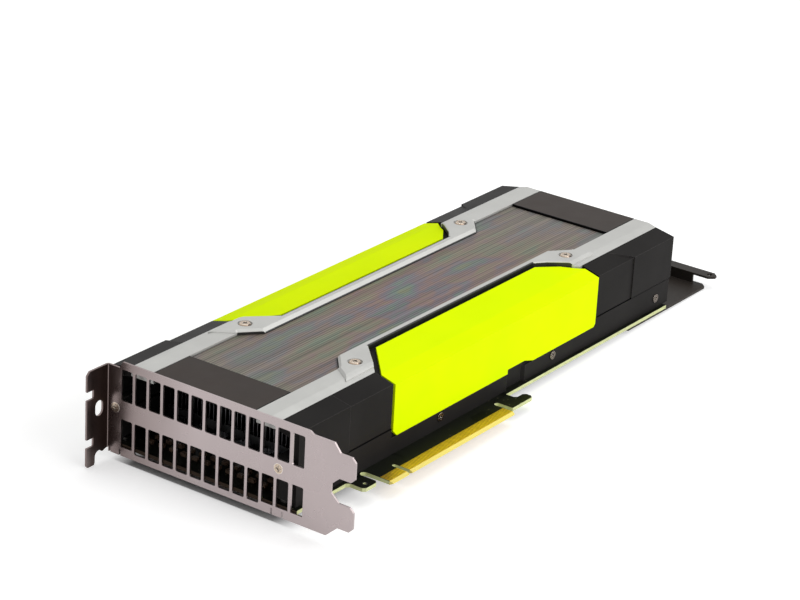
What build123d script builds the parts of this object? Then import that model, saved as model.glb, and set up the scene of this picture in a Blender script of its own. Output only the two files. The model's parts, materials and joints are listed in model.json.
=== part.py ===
from build123d import *
import os

os.makedirs("parts", exist_ok=True)

# Passive accelerator card, lying with its component side up, in millimetres.
# X runs from the outer face of the bracket to the rear of the card and Z points up.
# A "reach" is a distance from the bracket's top flange toward the connector edge, along -Y.
# A "half" is a distance from the lengthwise middle of the cooler, the same on both sides of it.

# Bracket, its tails and its screw flange
sheet = 0.86                    # bracket sheet
slot_pitch = 20.32              # from one expansion slot to the next
bracket_span = 120.02           # flange face to tail tips
plate_bottom = -0.6
plate_height = 39.9
plate_reach = 109.4             # plate edge between the tails
step_reach = 8.2                # the plate is lower from the flange to here
step_drop = 2.8
end_step_reach = 98.8           # and a little lower again toward the tails
end_step_drop = 1.1
shoulder_reach = 110.0
tail_width = 10.19
tail_middle = 9.21              # height of the lower tail's middle
tail_root = 113.0
tail_corner = 1.8
corner_cut = 1.6
flange_depth = 12.0
flange_top = 36.5
finger_width = 4.4
finger_tip = -4.2
screw_x = -5.0                  # line of the chassis screws
screw_z = -1.0                  # chassis screw of the lower slot
notch_width = 4.42
hole_height = 6.5
edge_notch_z = 6.0
edge_notch_height = 3.6
edge_notch_depth = 3.8
bend_outside = 1.3

# Vent slots
vent_columns = 13
vent_pitch = 6.95
vent_width = 5.7
vent_height = 13.2
vent_first = 7.6                # reach of the first slot's near edge
vent_bottom = 1.9
vent_row_rise = 21.1
vent_corner = 0.7
vent_fill = 1.2                 # the first lower slot and the last three end this much higher

# Bracket screws and board tabs
plate_screw_reach = (4.7, 84.7)
plate_screw_z = 19.2
plate_screw_head = 2.1
plate_screw_shank = 1.05
plate_screw_length = 6.0
head_sink = 0.7
tab_width = 4.4
tab_length = 9.0
tab_screw_x = 5.6
tab_relief = 0.7
tab_relief_height = 2.6

# Board
board_bottom = 2.5
board_thickness = 1.57
board_front = 1.0
board_rear = 267.3
board_height = 111.15           # top edge to contact tips
tip_reach = 105.8               # contact tips
edge_reach = 93.3               # main connector-side edge
tongue_front = 44.5
tongue_length = 84.3
bevel_reach = 1.3
bevel_depth = 0.5
key_middle = 12.15              # from the tongue's front end
key_width = 1.9
key_reach = 98.0
tab_front = 32.6                # small tab ahead of the tongue
tab_rear = 41.3
tab_reach = 101.4
tab_hole_x = 36.5
tab_hole_reach = 98.6
tab_hole_radius = 0.7
front_slot_reach = 93.6
rear_slot_reach = 96.2
rear_slot_width = 2.6
hook_reach = 102.8
hook_rear = 146.6
hook_neck = 140.6
hook_inner = 98.2
board_corner = 1.2
flange_clear_x = 12.0           # the board is cut back by the bracket flange
flange_clear_reach = 2.0

# Edge contacts
contact_pitch = 1.0
contact_width = 0.7
contact_first = 0.65
contacts_front = 11
contacts_rear = 71
contact_restart = 13.0
contact_inner = 99.8
contact_thickness = 0.06

# Cooler cover, as wide as the frame below it
frame_half = 45.1
cooler_reach = 1.1              # reach of the cooler's far side
cover_front = 3.0
cover_rear = 271.2
cover_bottom = 15.4
cover_top = 38.0
fold_z = 34.5
break_half = 32.4
cover_wall = 2.5
cavity_fold_z = 31.2
cavity_top = 34.0
block_step = 0.55               # the end blocks stand this much proud at the fold
block_slant = 8.2               # the rear blocks start further forward beside the rails
front_block_rear = 34.5
rear_block_front = 238.6
seam_chamfer = 0.3

# Window over the fins, and the silver rails beside it
window_front = 24.6
window_rear = 247.9
window_half = 25.1
strip_inner_half = 17.8         # foot of the bevel that faces the window
strip_outer_half = 21.7
window_slant_front = (54.0, 62.6)
window_slant_rear = (209.4, 218.4)
rail_outer_half = 36.2
rail_thickness = 1.2
rail_lip_z = 33.0
rail_lip = 1.2
pad_top = 39.1
pad_outer_half = 34.2
pad_front = 46.5
pad_rear = 222.8
pad_chamfer = 0.3               # edges beside the accent
pad_bevel = 1.4                 # width of the bevel along the window
pad_bevel_drop = 1.8
pad_side_bevel = 1.5            # width of the bevel along the shoulder
pad_side_drop = 1.1
pad_end_bevel = 0.9             # slanted ends of the pad and of the window
pad_end_step = 1.0              # the pad starts this far before the window narrows
tab_slant_front = (62.2, 77.2)
tab_rear_edge = ((194.4, 21.7), (199.4, 25.4), (204.6, 31.4), (206.4, 34.2), (209.2, 36.2))
rail_screw_x = (61.2, 211.2)
rail_screw_half = 27.3
rail_screw_head = 2.7
rail_head_top = 2.0             # radius of the head's upper face
rail_head_room = 0.35           # dark ring round the head
rail_head_sink = 0.5
rail_head_rise = 0.3
rail_screw_shank = 1.3
rail_screw_length = 5.1

# Dark end panels
panel_thickness = 1.6
panel_side_gap = 0.3
panel_end_gap = 0.5

# Bright accents in the recesses of the cover
accent_front = 63.4
accent_rear = 209.9
accent_inner_half = 23.8
accent_inner_z = 38.0
ridge_half = 38.3
ridge_z = 36.2
accent_proud = 0.4              # beyond the frame's side
accent_fold_z = 34.2
accent_bottom = 11.7
accent_wall = 1.5
accent_inner_fold = 1.2         # the inner fold is this much lower than the outer one
accent_inner_ridge = 0.4        # and the inner ridge this much nearer the middle
accent_gap = 1.0
accent_corner_x = 79.7
accent_corner_half = 38.6
accent_tail = ((192.9, 23.8), (202.6, 30.4), (205.4, 33.8), (207.9, 36.4), (209.9, 38.3))
accent_foot_cut = 2.6
accent_foot_rear = 1.2
accent_step = (143.2, 155.4, 162.0)
accent_step_z = 13.7

# Lower frame round the board
frame_wall = 2.6
frame_floor = 5.6
frame_floor_thickness = 1.2
frame_floor_front = 28.0
frame_floor_rear = 243.0
frame_shelf = 1.2               # depth of the recess behind the accent
frame_recess_front = 143.4
frame_recess_rear = 157.0
frame_recess_depth = 1.4
frame_recess_slope = 1.6
post_width = 4.8
post_bottom = 6.5
post_top = 23.0
post_rear = 9.5
boss_inset = 2.8                # posts for the screws from the solder side
boss_radius = 2.6

# Side screws through the frame wall into lugs of the cover
side_screw_x = (96.0, 177.5, 260.4)
side_screw_z = 8.9
side_screw_head = 1.85
side_head_rise = 0.45
side_screw_shank = 1.0
side_screw_length = 3.4
lug_width = 8.0
lug_thickness = 2.0
lug_top = 20.0

# Heatsink
sink_front = 30.0
sink_rear = 240.0
sink_gap = 2.7                  # between the heatsink and the frame's walls
fin_margin = 0.8                # from the outermost fin to the edge of the base
sink_base = 4.0
fin_count = 40
fin_thickness = 0.4
fin_low_top = 31.8
fin_high_half = 18.0
fin_sheet = 0.5
fin_sheet_top = 37.2
fin_sheet_gap = 0.3

# Processor and the parts on the board
chip_x = 150.0
package_side = 45.0
package_height = 1.9
package_room = 2.0              # the frame's opening is this much larger
die_side = 24.6
stiffener_width = 3.2
stiffener_height = 0.6
memory_side_x = 14.0
memory_side_y = 12.0
memory_height = 1.1
memory_inset = 11.1             # from the frame's side to the outer memory rows
memory_end_shift = 2.0          # the rows at both ends lie this much further out
memory_pitch = 15.2
memory_columns = 4
memory_rows = 3
memory_pad_margin = 0.5
coil_side = 7.4
coil_height = 5.0
coil_chamfer = 0.6
coil_count = 6
coil_pitch = 9.6
coil_x = 249.5
stage_length = 6.0
stage_width = 5.0
stage_height = 0.9
stage_x = 258.2
can_radius = 3.1
can_height = 7.6
can_x = 20.5
can_spacing = 11.0
can_count = 5
can_groove = 0.4
can_groove_rise = 1.3
small_x = (9.0, 13.6)
small_pitch = 5.6
small_count = 12
small_size = (1.6, 2.6, 1.4)
controller_x = 20.0
controller_reach = 74.0
controller_side = 9.0
controller_height = 1.2

# Power socket at the rear edge
socket_length = 15.0
socket_rear = 269.6
socket_reach = 17.0
socket_pitch = 4.2
socket_columns = 4
socket_width = 19.4
socket_height = 10.8
socket_hole = 3.4
socket_hole_corner = 0.4
socket_depth = 11.0
latch_width = 5.0
latch_height = 1.4
pin_radius = 0.55
pin_length = 8.0

# Screws from the solder side
under_head_radius = 2.2
under_head = 1.1
under_shank = 1.0
under_depth = 2.2               # how far these screws reach into the frame
frame_screw_x = (40.0, 112.0, 184.0, 232.0)
brace_inset = 12.1
brace_width = 8.0
brace_thickness = 1.0
brace_ring = 24.0
brace_open = 17.0

# Rear extender
extender_sheet = 1.0
extender_front = 236.0
extender_rear = 303.6
extender_near = 93.2
extender_far = 1.0
extender_corner = 2.4
ledge_near = 96.9
ledge_far = 6.0
ledge_rear = 307.2
ledge_top = 7.5
ledge_corner = 2.2
upright_near = 86.7
upright_x = 301.2
ear_hole_x = 304.2
ear_hole_reach = 93.6
ear_hole_radius = 1.3
extender_screw_x = (246.0, 264.0)

# Cross recess of every screw, as shares of the radius of its head
recess_arm = 1.25               # length of an arm from tip to tip
recess_width = 0.25
recess_core = 0.36              # radius of the round middle

hair = 0.05                     # running clearance between fitted pieces

# Values that follow from the ones above
middle = cooler_reach + frame_half
fold_half = frame_half
cavity_half = fold_half - cover_wall
accent_side_half = frame_half + accent_proud
frame_recess_half = frame_half - frame_shelf
boss_half = frame_half - boss_inset
sink_half = frame_half - frame_wall - sink_gap
fin_pitch = 2 * (sink_half - fin_margin) / (fin_count - 1)
memory_offset = frame_half - memory_inset
brace_arm = frame_half - brace_inset
board_top = board_bottom + board_thickness
floor_top = frame_floor + frame_floor_thickness
fins_bottom = floor_top + sink_base
slope = (cover_top - fold_z) / (fold_half - break_half)
rail_outer_z = cover_top - slope * (rail_outer_half - break_half)
brace_depth = brace_thickness + floor_top - board_bottom + sink_base / 2 - hair
tongue_rear = tongue_front + tongue_length
hook_front = tongue_rear + rear_slot_width
upper_tail = tail_middle + slot_pitch
tail_half = tail_width / 2
plate_top = plate_bottom + plate_height
vent_mid_y = -(vent_first + vent_width / 2 + vent_pitch * (vent_columns - 1) / 2)
vent_low_z = vent_bottom + vent_height / 2
vent_mid_z = vent_low_z + vent_row_rise / 2
pad_root = cover_top - rail_thickness
panel_bottom = cover_top - panel_thickness
lug_half = frame_half - frame_wall - hair
mid_plane = Plane.XZ.offset(middle)


def near(half):
    """Y of a half distance on the connector side."""
    return -middle - half


def far(half):
    """Y of a half distance on the flange side."""
    return -middle + half


def both(points):
    """A closed outline across the card: near-side (half, z) points and their mirror image."""
    there = [(near(h), z) for h, z in points]
    back = [(far(h), z) for h, z in reversed(points)]
    return there + back


def cross_recess(head_radius, depth):
    """Cuts a cross recess with a round middle into a screw head, from the end of the head."""
    Box(head_radius * recess_arm, head_radius * recess_width, 2 * depth, mode=Mode.SUBTRACT)
    Box(head_radius * recess_width, head_radius * recess_arm, 2 * depth, mode=Mode.SUBTRACT)
    Cylinder(head_radius * recess_core, 2 * depth, mode=Mode.SUBTRACT)


# The bracket: vented plate, two tails, screw flange and the tabs under the board
with BuildPart() as io_bracket:
    with BuildSketch(Plane.YZ):
        with BuildLine():
            Polyline(
                (-bend_outside, plate_bottom + corner_cut - bend_outside),
                (-bend_outside, flange_top),
                (-(step_reach - 2 * corner_cut), flange_top),
                (-(step_reach - corner_cut), plate_top - step_drop),
                (-step_reach, plate_top),
                (-end_step_reach, plate_top),
                (-(end_step_reach + corner_cut), plate_top - end_step_drop),
                (-shoulder_reach, plate_top - end_step_drop),
                (-tail_root, upper_tail + tail_half),
                (-(bracket_span - tail_corner), upper_tail + tail_half),
                (-bracket_span, upper_tail + tail_half - tail_corner),
                (-bracket_span, upper_tail - tail_half + tail_corner),
                (-(bracket_span - tail_corner), upper_tail - tail_half),
                (-tail_root, upper_tail - tail_half),
                (-plate_reach, upper_tail - tail_half - 2 * corner_cut),
                (-plate_reach, tail_middle + tail_half + 2 * corner_cut),
                (-tail_root, tail_middle + tail_half),
                (-(bracket_span - tail_corner), tail_middle + tail_half),
                (-bracket_span, tail_middle + tail_half - tail_corner),
                (-bracket_span, tail_middle - tail_half + tail_corner),
                (-(bracket_span - tail_corner), tail_middle - tail_half),
                (-tail_root, tail_middle - tail_half),
                (-(plate_reach - corner_cut), plate_bottom),
                (-corner_cut, plate_bottom),
                close=True,
            )
        make_face()
        with Locations((vent_mid_y, vent_mid_z)):
            with GridLocations(vent_pitch, vent_row_rise, vent_columns, 2):
                RectangleRounded(vent_width, vent_height, vent_corner, mode=Mode.SUBTRACT)
        fill_y = [-(vent_first + vent_width / 2 + vent_pitch * n)
                  for n in range(vent_columns) if not 0 < n < vent_columns - 3]
        with Locations(*[(y, vent_bottom + vent_fill / 2) for y in fill_y]):
            Rectangle(vent_width, vent_fill)
        relief = [r + side * (tab_width + tab_relief) / 2 for r in plate_screw_reach for side in (-1, 1)]
        with Locations(*[(-r, plate_bottom + tab_relief_height / 2) for r in relief]):
            Rectangle(tab_relief, tab_relief_height, mode=Mode.SUBTRACT)
    extrude(amount=sheet)
    with BuildSketch(Plane.XZ):
        with BuildLine():
            Polyline(
                (sheet - bend_outside, flange_top),
                (corner_cut - flange_depth, flange_top),
                (-flange_depth, flange_top - corner_cut),
                (-flange_depth, finger_tip + corner_cut / 2),
                (corner_cut / 2 - flange_depth, finger_tip),
                (finger_width - flange_depth, finger_tip),
                (screw_x - notch_width / 2, screw_z - notch_width / 2),
                (screw_x - notch_width / 2, screw_z),
                (screw_x, screw_z),
                (screw_x, plate_bottom + corner_cut / 2),
                (screw_x + notch_width / 2, plate_bottom + corner_cut / 2),
                (sheet - bend_outside, plate_bottom + corner_cut),
                close=True,
            )
        make_face()
        with Locations((screw_x, screw_z)):
            Circle(notch_width / 2, mode=Mode.SUBTRACT)
        with Locations((screw_x, screw_z + slot_pitch)):
            SlotOverall(hole_height, notch_width, rotation=90, mode=Mode.SUBTRACT)
        notch_x = edge_notch_depth / 2 - flange_depth
        with Locations((notch_x, edge_notch_z), (notch_x, edge_notch_z + slot_pitch)):
            Rectangle(edge_notch_depth, edge_notch_height, mode=Mode.SUBTRACT)
    extrude(amount=sheet)
    with BuildSketch(Plane.XY.offset(plate_bottom + corner_cut)):
        with Locations((sheet - bend_outside, -bend_outside)):
            Circle(bend_outside)
            Circle(bend_outside - sheet, mode=Mode.SUBTRACT)
            Rectangle(bend_outside, bend_outside, align=(Align.MIN, Align.MIN), mode=Mode.INTERSECT)
    extrude(amount=flange_top - plate_bottom - corner_cut)
    with BuildSketch(Plane.XY.offset(board_bottom - sheet)):
        with Locations(*[(tab_length / 2, -r) for r in plate_screw_reach]):
            Rectangle(tab_length, tab_width)
        with Locations(*[(tab_screw_x, -r) for r in plate_screw_reach]):
            Circle(under_shank + hair, mode=Mode.SUBTRACT)
    extrude(amount=sheet)
    with BuildSketch(Plane.YZ.offset(head_sink)):
        with Locations(*[(-r, plate_screw_z) for r in plate_screw_reach]):
            Circle(plate_screw_shank + hair)
    extrude(amount=2 * sheet, both=True, mode=Mode.SUBTRACT)
    for reach in plate_screw_reach:
        with Locations(Location((0, -reach, plate_screw_z), (0, 90, 0))):
            Cone(plate_screw_head, plate_screw_shank + hair, head_sink,
                 align=(Align.CENTER, Align.CENTER, Align.MIN), mode=Mode.SUBTRACT)
io_bracket.part.label = "io_bracket"

# Two flush cross-recess screws that hold the plate to the posts of the frame
with BuildPart() as bracket_screws:
    for reach in plate_screw_reach:
        with Locations(Location((0, -reach, plate_screw_z), (0, 90, 0))):
            Cone(plate_screw_head, plate_screw_shank + hair, head_sink,
                 align=(Align.CENTER, Align.CENTER, Align.MIN))
        with Locations(Location((head_sink, -reach, plate_screw_z), (0, 90, 0))):
            Cylinder(plate_screw_shank, plate_screw_length - head_sink,
                     align=(Align.CENTER, Align.CENTER, Align.MIN))
        with Locations(Location((0, -reach, plate_screw_z), (0, 90, 0))):
            cross_recess(plate_screw_head, head_sink / 2)
bracket_screws.part.label = "bracket_screws"

# Two screws down through the board into the bracket tabs
with BuildPart() as tab_screws:
    for reach in plate_screw_reach:
        with Locations((tab_screw_x, -reach, board_top)):
            Cylinder(under_head_radius, under_head, align=(Align.CENTER, Align.CENTER, Align.MIN))
        with Locations((tab_screw_x, -reach, board_bottom - sheet)):
            Cylinder(under_shank, board_thickness + sheet, align=(Align.CENTER, Align.CENTER, Align.MIN))
        with Locations((tab_screw_x, -reach, board_top + under_head)):
            cross_recess(under_head_radius, under_head / 2)
tab_screws.part.label = "tab_screws"

# The board with its contact tongue, key slot, front tab and retention hook
frame_screw_spots = [(x, side(boss_half)) for x in frame_screw_x for side in (near, far)]
extender_spots = [(x, side(boss_half)) for x in extender_screw_x for side in (near, far)]
brace_spots = [(chip_x + a * brace_arm, -middle + b * brace_arm) for a in (-1, 1) for b in (-1, 1)]
with BuildPart() as circuit_board:
    with BuildSketch(Plane.XY.offset(board_bottom)):
        with BuildLine():
            Polyline(
                (board_front, -flange_clear_reach),
                (board_front, -edge_reach),
                (tab_front - board_corner, -edge_reach),
                (tab_front, -(edge_reach + board_corner)),
                (tab_front, -(tab_reach - board_corner)),
                (tab_front + board_corner, -tab_reach),
                (tab_rear - board_corner, -tab_reach),
                (tab_rear, -(tab_reach - board_corner)),
                (tab_rear, -front_slot_reach),
                (tongue_front, -front_slot_reach),
                (tongue_front, -(tip_reach - bevel_reach)),
                (tongue_front + bevel_depth, -tip_reach),
                (tongue_rear - bevel_depth, -tip_reach),
                (tongue_rear, -(tip_reach - bevel_reach)),
                (tongue_rear, -rear_slot_reach),
                (hook_front, -rear_slot_reach),
                (hook_front, -hook_reach),
                (hook_rear - board_corner, -hook_reach),
                (hook_rear, -(hook_reach - board_corner)),
                (hook_rear, -(hook_inner + board_corner)),
                (hook_rear - board_corner, -hook_inner),
                (hook_neck + board_corner, -hook_inner),
                (hook_neck, -(hook_inner - board_corner)),
                (hook_neck, -edge_reach),
                (board_rear, -edge_reach),
                (board_rear, board_height - tip_reach),
                (flange_clear_x, board_height - tip_reach),
                (flange_clear_x, -flange_clear_reach),
                close=True,
            )
        make_face()
        with Locations((tongue_front + key_middle, -(tip_reach + key_reach) / 2)):
            Rectangle(key_width, tip_reach - key_reach, mode=Mode.SUBTRACT)
        with Locations((tongue_front + key_middle, -key_reach)):
            Circle(key_width / 2, mode=Mode.SUBTRACT)
        with Locations(((tab_rear + tongue_front) / 2, -front_slot_reach)):
            Circle((tongue_front - tab_rear) / 2, mode=Mode.SUBTRACT)
        with Locations(((tongue_rear + hook_front) / 2, -rear_slot_reach)):
            Circle(rear_slot_width / 2, mode=Mode.SUBTRACT)
        with Locations((tab_hole_x, -tab_hole_reach)):
            Circle(tab_hole_radius, mode=Mode.SUBTRACT)
        board_holes = frame_screw_spots + extender_spots + brace_spots
        board_holes += [(tab_screw_x, -r) for r in plate_screw_reach]
        with Locations(*board_holes):
            Circle(under_shank + hair, mode=Mode.SUBTRACT)
    extrude(amount=board_thickness)
    for face_z, toward in ((board_top, -1), (board_bottom, 1)):
        with BuildSketch(Plane.YZ.offset(tongue_front)):
            with BuildLine():
                Polyline(
                    (-(tip_reach - bevel_reach), face_z),
                    (-tip_reach, face_z + toward * bevel_depth),
                    (-tip_reach, face_z),
                    close=True,
                )
            make_face()
        extrude(amount=tongue_length, mode=Mode.SUBTRACT)
circuit_board.part.label = "circuit_board"

# Gold contacts on both faces of the tongue
contact_x = [tongue_front + contact_first + contact_pitch * n for n in range(contacts_front)]
contact_x += [tongue_front + contact_first + contact_restart + contact_pitch * n
              for n in range(contacts_rear)]
contact_outer = tip_reach - bevel_reach
with BuildPart() as edge_contacts:
    for face_z in (board_top, board_bottom - contact_thickness):
        with BuildSketch(Plane.XY.offset(face_z)):
            with Locations(*[(x, -(contact_inner + contact_outer) / 2) for x in contact_x]):
                Rectangle(contact_width, contact_outer - contact_inner)
        extrude(amount=contact_thickness)
edge_contacts.part.label = "edge_contacts"

# Processor package, its die and the stiffening ring round the die
with BuildPart() as processor_package:
    with Locations((chip_x, -middle, board_top)):
        Box(package_side, package_side, package_height, align=(Align.CENTER, Align.CENTER, Align.MIN))
processor_package.part.label = "processor_package"

die_bottom = board_top + package_height
with BuildPart() as processor_die:
    with Locations((chip_x, -middle, die_bottom)):
        Box(die_side, die_side, floor_top - die_bottom, align=(Align.CENTER, Align.CENTER, Align.MIN))
processor_die.part.label = "processor_die"

with BuildPart() as package_stiffener:
    with BuildSketch(Plane.XY.offset(die_bottom)):
        with Locations((chip_x, -middle)):
            Rectangle(package_side, package_side)
            Rectangle(package_side - 2 * stiffener_width, package_side - 2 * stiffener_width,
                      mode=Mode.SUBTRACT)
    extrude(amount=stiffener_height)
package_stiffener.part.label = "package_stiffener"

# Memory chips on both sides of the processor and the pads that couple them to the frame floor
memory_spots = [(chip_x + memory_pitch * (n - (memory_columns - 1) / 2), -middle + s * memory_offset)
                for n in range(memory_columns) for s in (-1, 1)]
memory_spots += [(chip_x + s * (memory_offset + memory_end_shift),
                  -middle + memory_pitch * (n - (memory_rows - 1) / 2))
                 for n in range(memory_rows) for s in (-1, 1)]
with BuildPart() as memory_chips:
    with BuildSketch(Plane.XY.offset(board_top)):
        with Locations(*memory_spots):
            Rectangle(memory_side_x, memory_side_y)
    extrude(amount=memory_height)
memory_chips.part.label = "memory_chips"

pad_bottom = board_top + memory_height
with BuildPart() as thermal_pads:
    with BuildSketch(Plane.XY.offset(pad_bottom)):
        with Locations(*memory_spots):
            Rectangle(memory_side_x - 2 * memory_pad_margin, memory_side_y - 2 * memory_pad_margin)
    extrude(amount=frame_floor - pad_bottom)
thermal_pads.part.label = "thermal_pads"

# Power coils and power stages in the intake zone behind the fins
coil_y = [-(middle - coil_pitch * (coil_count - 1) / 2 + coil_pitch * n) for n in range(coil_count)]
with BuildPart() as power_coils:
    for y in coil_y:
        with BuildSketch(Plane.XY.offset(board_top)):
            with Locations((coil_x, y)):
                Rectangle(coil_side, coil_side)
        extrude(amount=coil_height)
    top_faces = power_coils.faces().filter_by(lambda f: f.center().Z > board_top + coil_height - hair)
    chamfer(top_faces.edges(), coil_chamfer)
power_coils.part.label = "power_coils"

with BuildPart() as power_stages:
    with BuildSketch(Plane.XY.offset(board_top)):
        with Locations(*[(stage_x, y) for y in coil_y[1:]]):
            Rectangle(stage_length, stage_width)
    extrude(amount=stage_height)
power_stages.part.label = "power_stages"

# Can capacitors, small parts and a controller between the bracket and the fins
can_y = [-(middle + can_spacing * (n - can_count / 2)) for n in range(can_count)]
with BuildPart() as can_capacitors:
    for y in can_y:
        with BuildSketch(Plane.XY.offset(board_top)):
            with Locations((can_x, y)):
                Circle(can_radius)
        extrude(amount=can_height)
    with BuildSketch(Plane.XY.offset(board_top + can_groove_rise)):
        with Locations(*[(can_x, y) for y in can_y]):
            Circle(can_radius)
            Circle(can_radius - can_groove, mode=Mode.SUBTRACT)
    extrude(amount=can_groove, mode=Mode.SUBTRACT)
can_capacitors.part.label = "can_capacitors"

small_y = [-(middle + small_pitch * (n - (small_count - 1) / 2)) for n in range(small_count)]
with BuildPart() as small_capacitors:
    with BuildSketch(Plane.XY.offset(board_top)):
        with Locations(*[(x, y) for x in small_x for y in small_y]):
            Rectangle(small_size[0], small_size[1])
    extrude(amount=small_size[2])
small_capacitors.part.label = "small_capacitors"

with BuildPart() as controller_chip:
    with Locations((controller_x, -controller_reach, board_top)):
        Box(controller_side, controller_side, controller_height,
            align=(Align.CENTER, Align.CENTER, Align.MIN))
controller_chip.part.label = "controller_chip"

# Power socket that opens to the rear, with its pins
socket_front = socket_rear - socket_length
socket_rows = [board_top + socket_height / 2 + s * socket_pitch / 2 for s in (-1, 1)]
socket_holes = [(-(socket_reach + socket_pitch * (n - (socket_columns - 1) / 2)), z)
                for n in range(socket_columns) for z in socket_rows]
with BuildPart() as power_socket:
    with BuildSketch(Plane.YZ.offset(socket_front)):
        with Locations((-socket_reach, board_top + socket_height / 2)):
            Rectangle(socket_width, socket_height)
        with Locations((-socket_reach, board_top + socket_height + latch_height / 2)):
            Rectangle(latch_width, latch_height)
    extrude(amount=socket_length)
    with BuildSketch(Plane.YZ.offset(socket_rear)):
        with Locations(*socket_holes):
            RectangleRounded(socket_hole, socket_hole, socket_hole_corner)
    extrude(amount=-socket_depth, mode=Mode.SUBTRACT)
power_socket.part.label = "power_socket"

with BuildPart() as socket_pins:
    with BuildSketch(Plane.YZ.offset(socket_rear - socket_depth)):
        with Locations(*socket_holes):
            Circle(pin_radius)
    extrude(amount=pin_length)
socket_pins.part.label = "socket_pins"

# Lower frame: side walls on the board, a floor under the heatsink and two posts behind the bracket
frame_length = cover_rear - cover_front
wall_inner = frame_half - frame_wall
with BuildPart() as base_frame:
    with BuildSketch(Plane.XY.offset(board_top)):
        for side in (near, far):
            with Locations(((cover_front + cover_rear) / 2, side(frame_half - frame_wall / 2))):
                Rectangle(frame_length, frame_wall)
    extrude(amount=cover_bottom - board_top)
    seam_edges = base_frame.edges().filter_by(Axis.X).filter_by(
        lambda e: e.center().Z > cover_bottom - hair and abs(e.center().Y + middle) > frame_half - hair)
    chamfer(seam_edges, seam_chamfer)
    with BuildSketch(Plane.XY.offset(board_top)):
        with Locations(*(frame_screw_spots + extender_spots)):
            Circle(boss_radius)
    extrude(amount=floor_top - board_top)
    with BuildSketch(Plane.XY.offset(frame_floor)):
        with Locations(((frame_floor_front + frame_floor_rear) / 2, -middle)):
            Rectangle(frame_floor_rear - frame_floor_front, 2 * frame_half - frame_wall)
        with Locations((chip_x, -middle)):
            Rectangle(package_side + package_room, package_side + package_room, mode=Mode.SUBTRACT)
        with Locations(*brace_spots):
            Circle(under_shank + hair, mode=Mode.SUBTRACT)
    extrude(amount=frame_floor_thickness)
    with BuildSketch(Plane.XY.offset(post_bottom)):
        for reach, side in ((plate_screw_reach[0], far), (plate_screw_reach[1], near)):
            free_y = -reach + (post_width / 2 if side is near else -post_width / 2)
            with Locations(((sheet + post_rear) / 2, (side(wall_inner) + free_y) / 2)):
                Rectangle(post_rear - sheet, abs(side(wall_inner) - free_y))
    extrude(amount=post_top - post_bottom)
    with BuildSketch(Plane.YZ):
        with Locations(*[(-r, plate_screw_z) for r in plate_screw_reach]):
            Circle(plate_screw_shank)
    extrude(amount=plate_screw_length + hair, mode=Mode.SUBTRACT)
    with BuildSketch(Plane.XY.offset(board_top)):
        with Locations(*[(tab_screw_x, -r) for r in plate_screw_reach]):
            Circle(under_head_radius + hair)
    extrude(amount=under_head + hair, mode=Mode.SUBTRACT)
    with BuildSketch(Plane.XY):
        with BuildLine():
            Polyline(
                (frame_recess_front, near(frame_half)),
                (frame_recess_front, near(frame_half - frame_recess_depth)),
                (frame_recess_rear - frame_recess_slope, near(frame_half - frame_recess_depth)),
                (frame_recess_rear, near(frame_half)),
                close=True,
            )
        make_face()
    extrude(amount=cover_bottom, mode=Mode.SUBTRACT)
    with BuildSketch(Plane.XY.offset(accent_bottom - accent_gap / 2)):
        for side in (near, far):
            with Locations(((accent_front + accent_rear) / 2, side(frame_half))):
                Rectangle(accent_rear - accent_front + accent_gap, 2 * (frame_half - frame_recess_half))
    extrude(amount=cover_bottom, mode=Mode.SUBTRACT)
    with BuildSketch(Plane.XY.offset(board_top)):
        with Locations(*(frame_screw_spots + extender_spots)):
            Circle(under_shank)
    extrude(amount=under_depth, mode=Mode.SUBTRACT)
    with BuildSketch(Plane.XZ):
        with Locations(*[(x, side_screw_z) for x in side_screw_x]):
            Circle(side_screw_shank + hair)
    extrude(amount=bracket_span, both=True, mode=Mode.SUBTRACT)
base_frame.part.label = "base_frame"

# Heatsink: a flat base on the frame floor and the die, fins along the airflow, a brushed sheet on top
sink_length = sink_rear - sink_front
with BuildPart() as heatsink_base:
    with Locations(((sink_front + sink_rear) / 2, -middle, floor_top)):
        Box(sink_length, 2 * sink_half, sink_base, align=(Align.CENTER, Align.CENTER, Align.MIN))
    with BuildSketch(Plane.XY.offset(floor_top)):
        with Locations(*brace_spots):
            Circle(under_shank)
    extrude(amount=sink_base / 2, mode=Mode.SUBTRACT)
heatsink_base.part.label = "heatsink_base"

fin_halves = [fin_pitch * (n - (fin_count - 1) / 2) for n in range(fin_count)]
with BuildPart() as heatsink_fins:
    for half in fin_halves:
        fin_top = fin_sheet_top - fin_sheet if abs(half) < fin_high_half else fin_low_top
        with Locations(((sink_front + sink_rear) / 2, -middle + half, fins_bottom)):
            Box(sink_length, fin_thickness, fin_top - fins_bottom,
                align=(Align.CENTER, Align.CENTER, Align.MIN))
heatsink_fins.part.label = "heatsink_fins"


def window_outline(wide, narrow, ahead, behind):
    """Outline of the window between the rails, wide at both ends and narrow between the tabs."""
    side = [(ahead, wide), (window_slant_front[0], wide), (window_slant_front[1], narrow),
            (window_slant_rear[0], narrow), (window_slant_rear[1], wide), (behind, wide)]
    return [(x, near(h)) for x, h in side] + [(x, far(h)) for x, h in reversed(side)]


with BuildPart() as fin_sheet_plate:
    with BuildSketch(Plane.XY.offset(fin_sheet_top - fin_sheet)):
        with BuildLine():
            Polyline(*window_outline(window_half - fin_sheet_gap, strip_inner_half - fin_sheet_gap,
                                     window_front + fin_sheet_gap, window_rear - fin_sheet_gap), close=True)
        make_face()
    extrude(amount=fin_sheet)
fin_sheet_plate.part.label = "fin_top_sheet"

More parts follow.
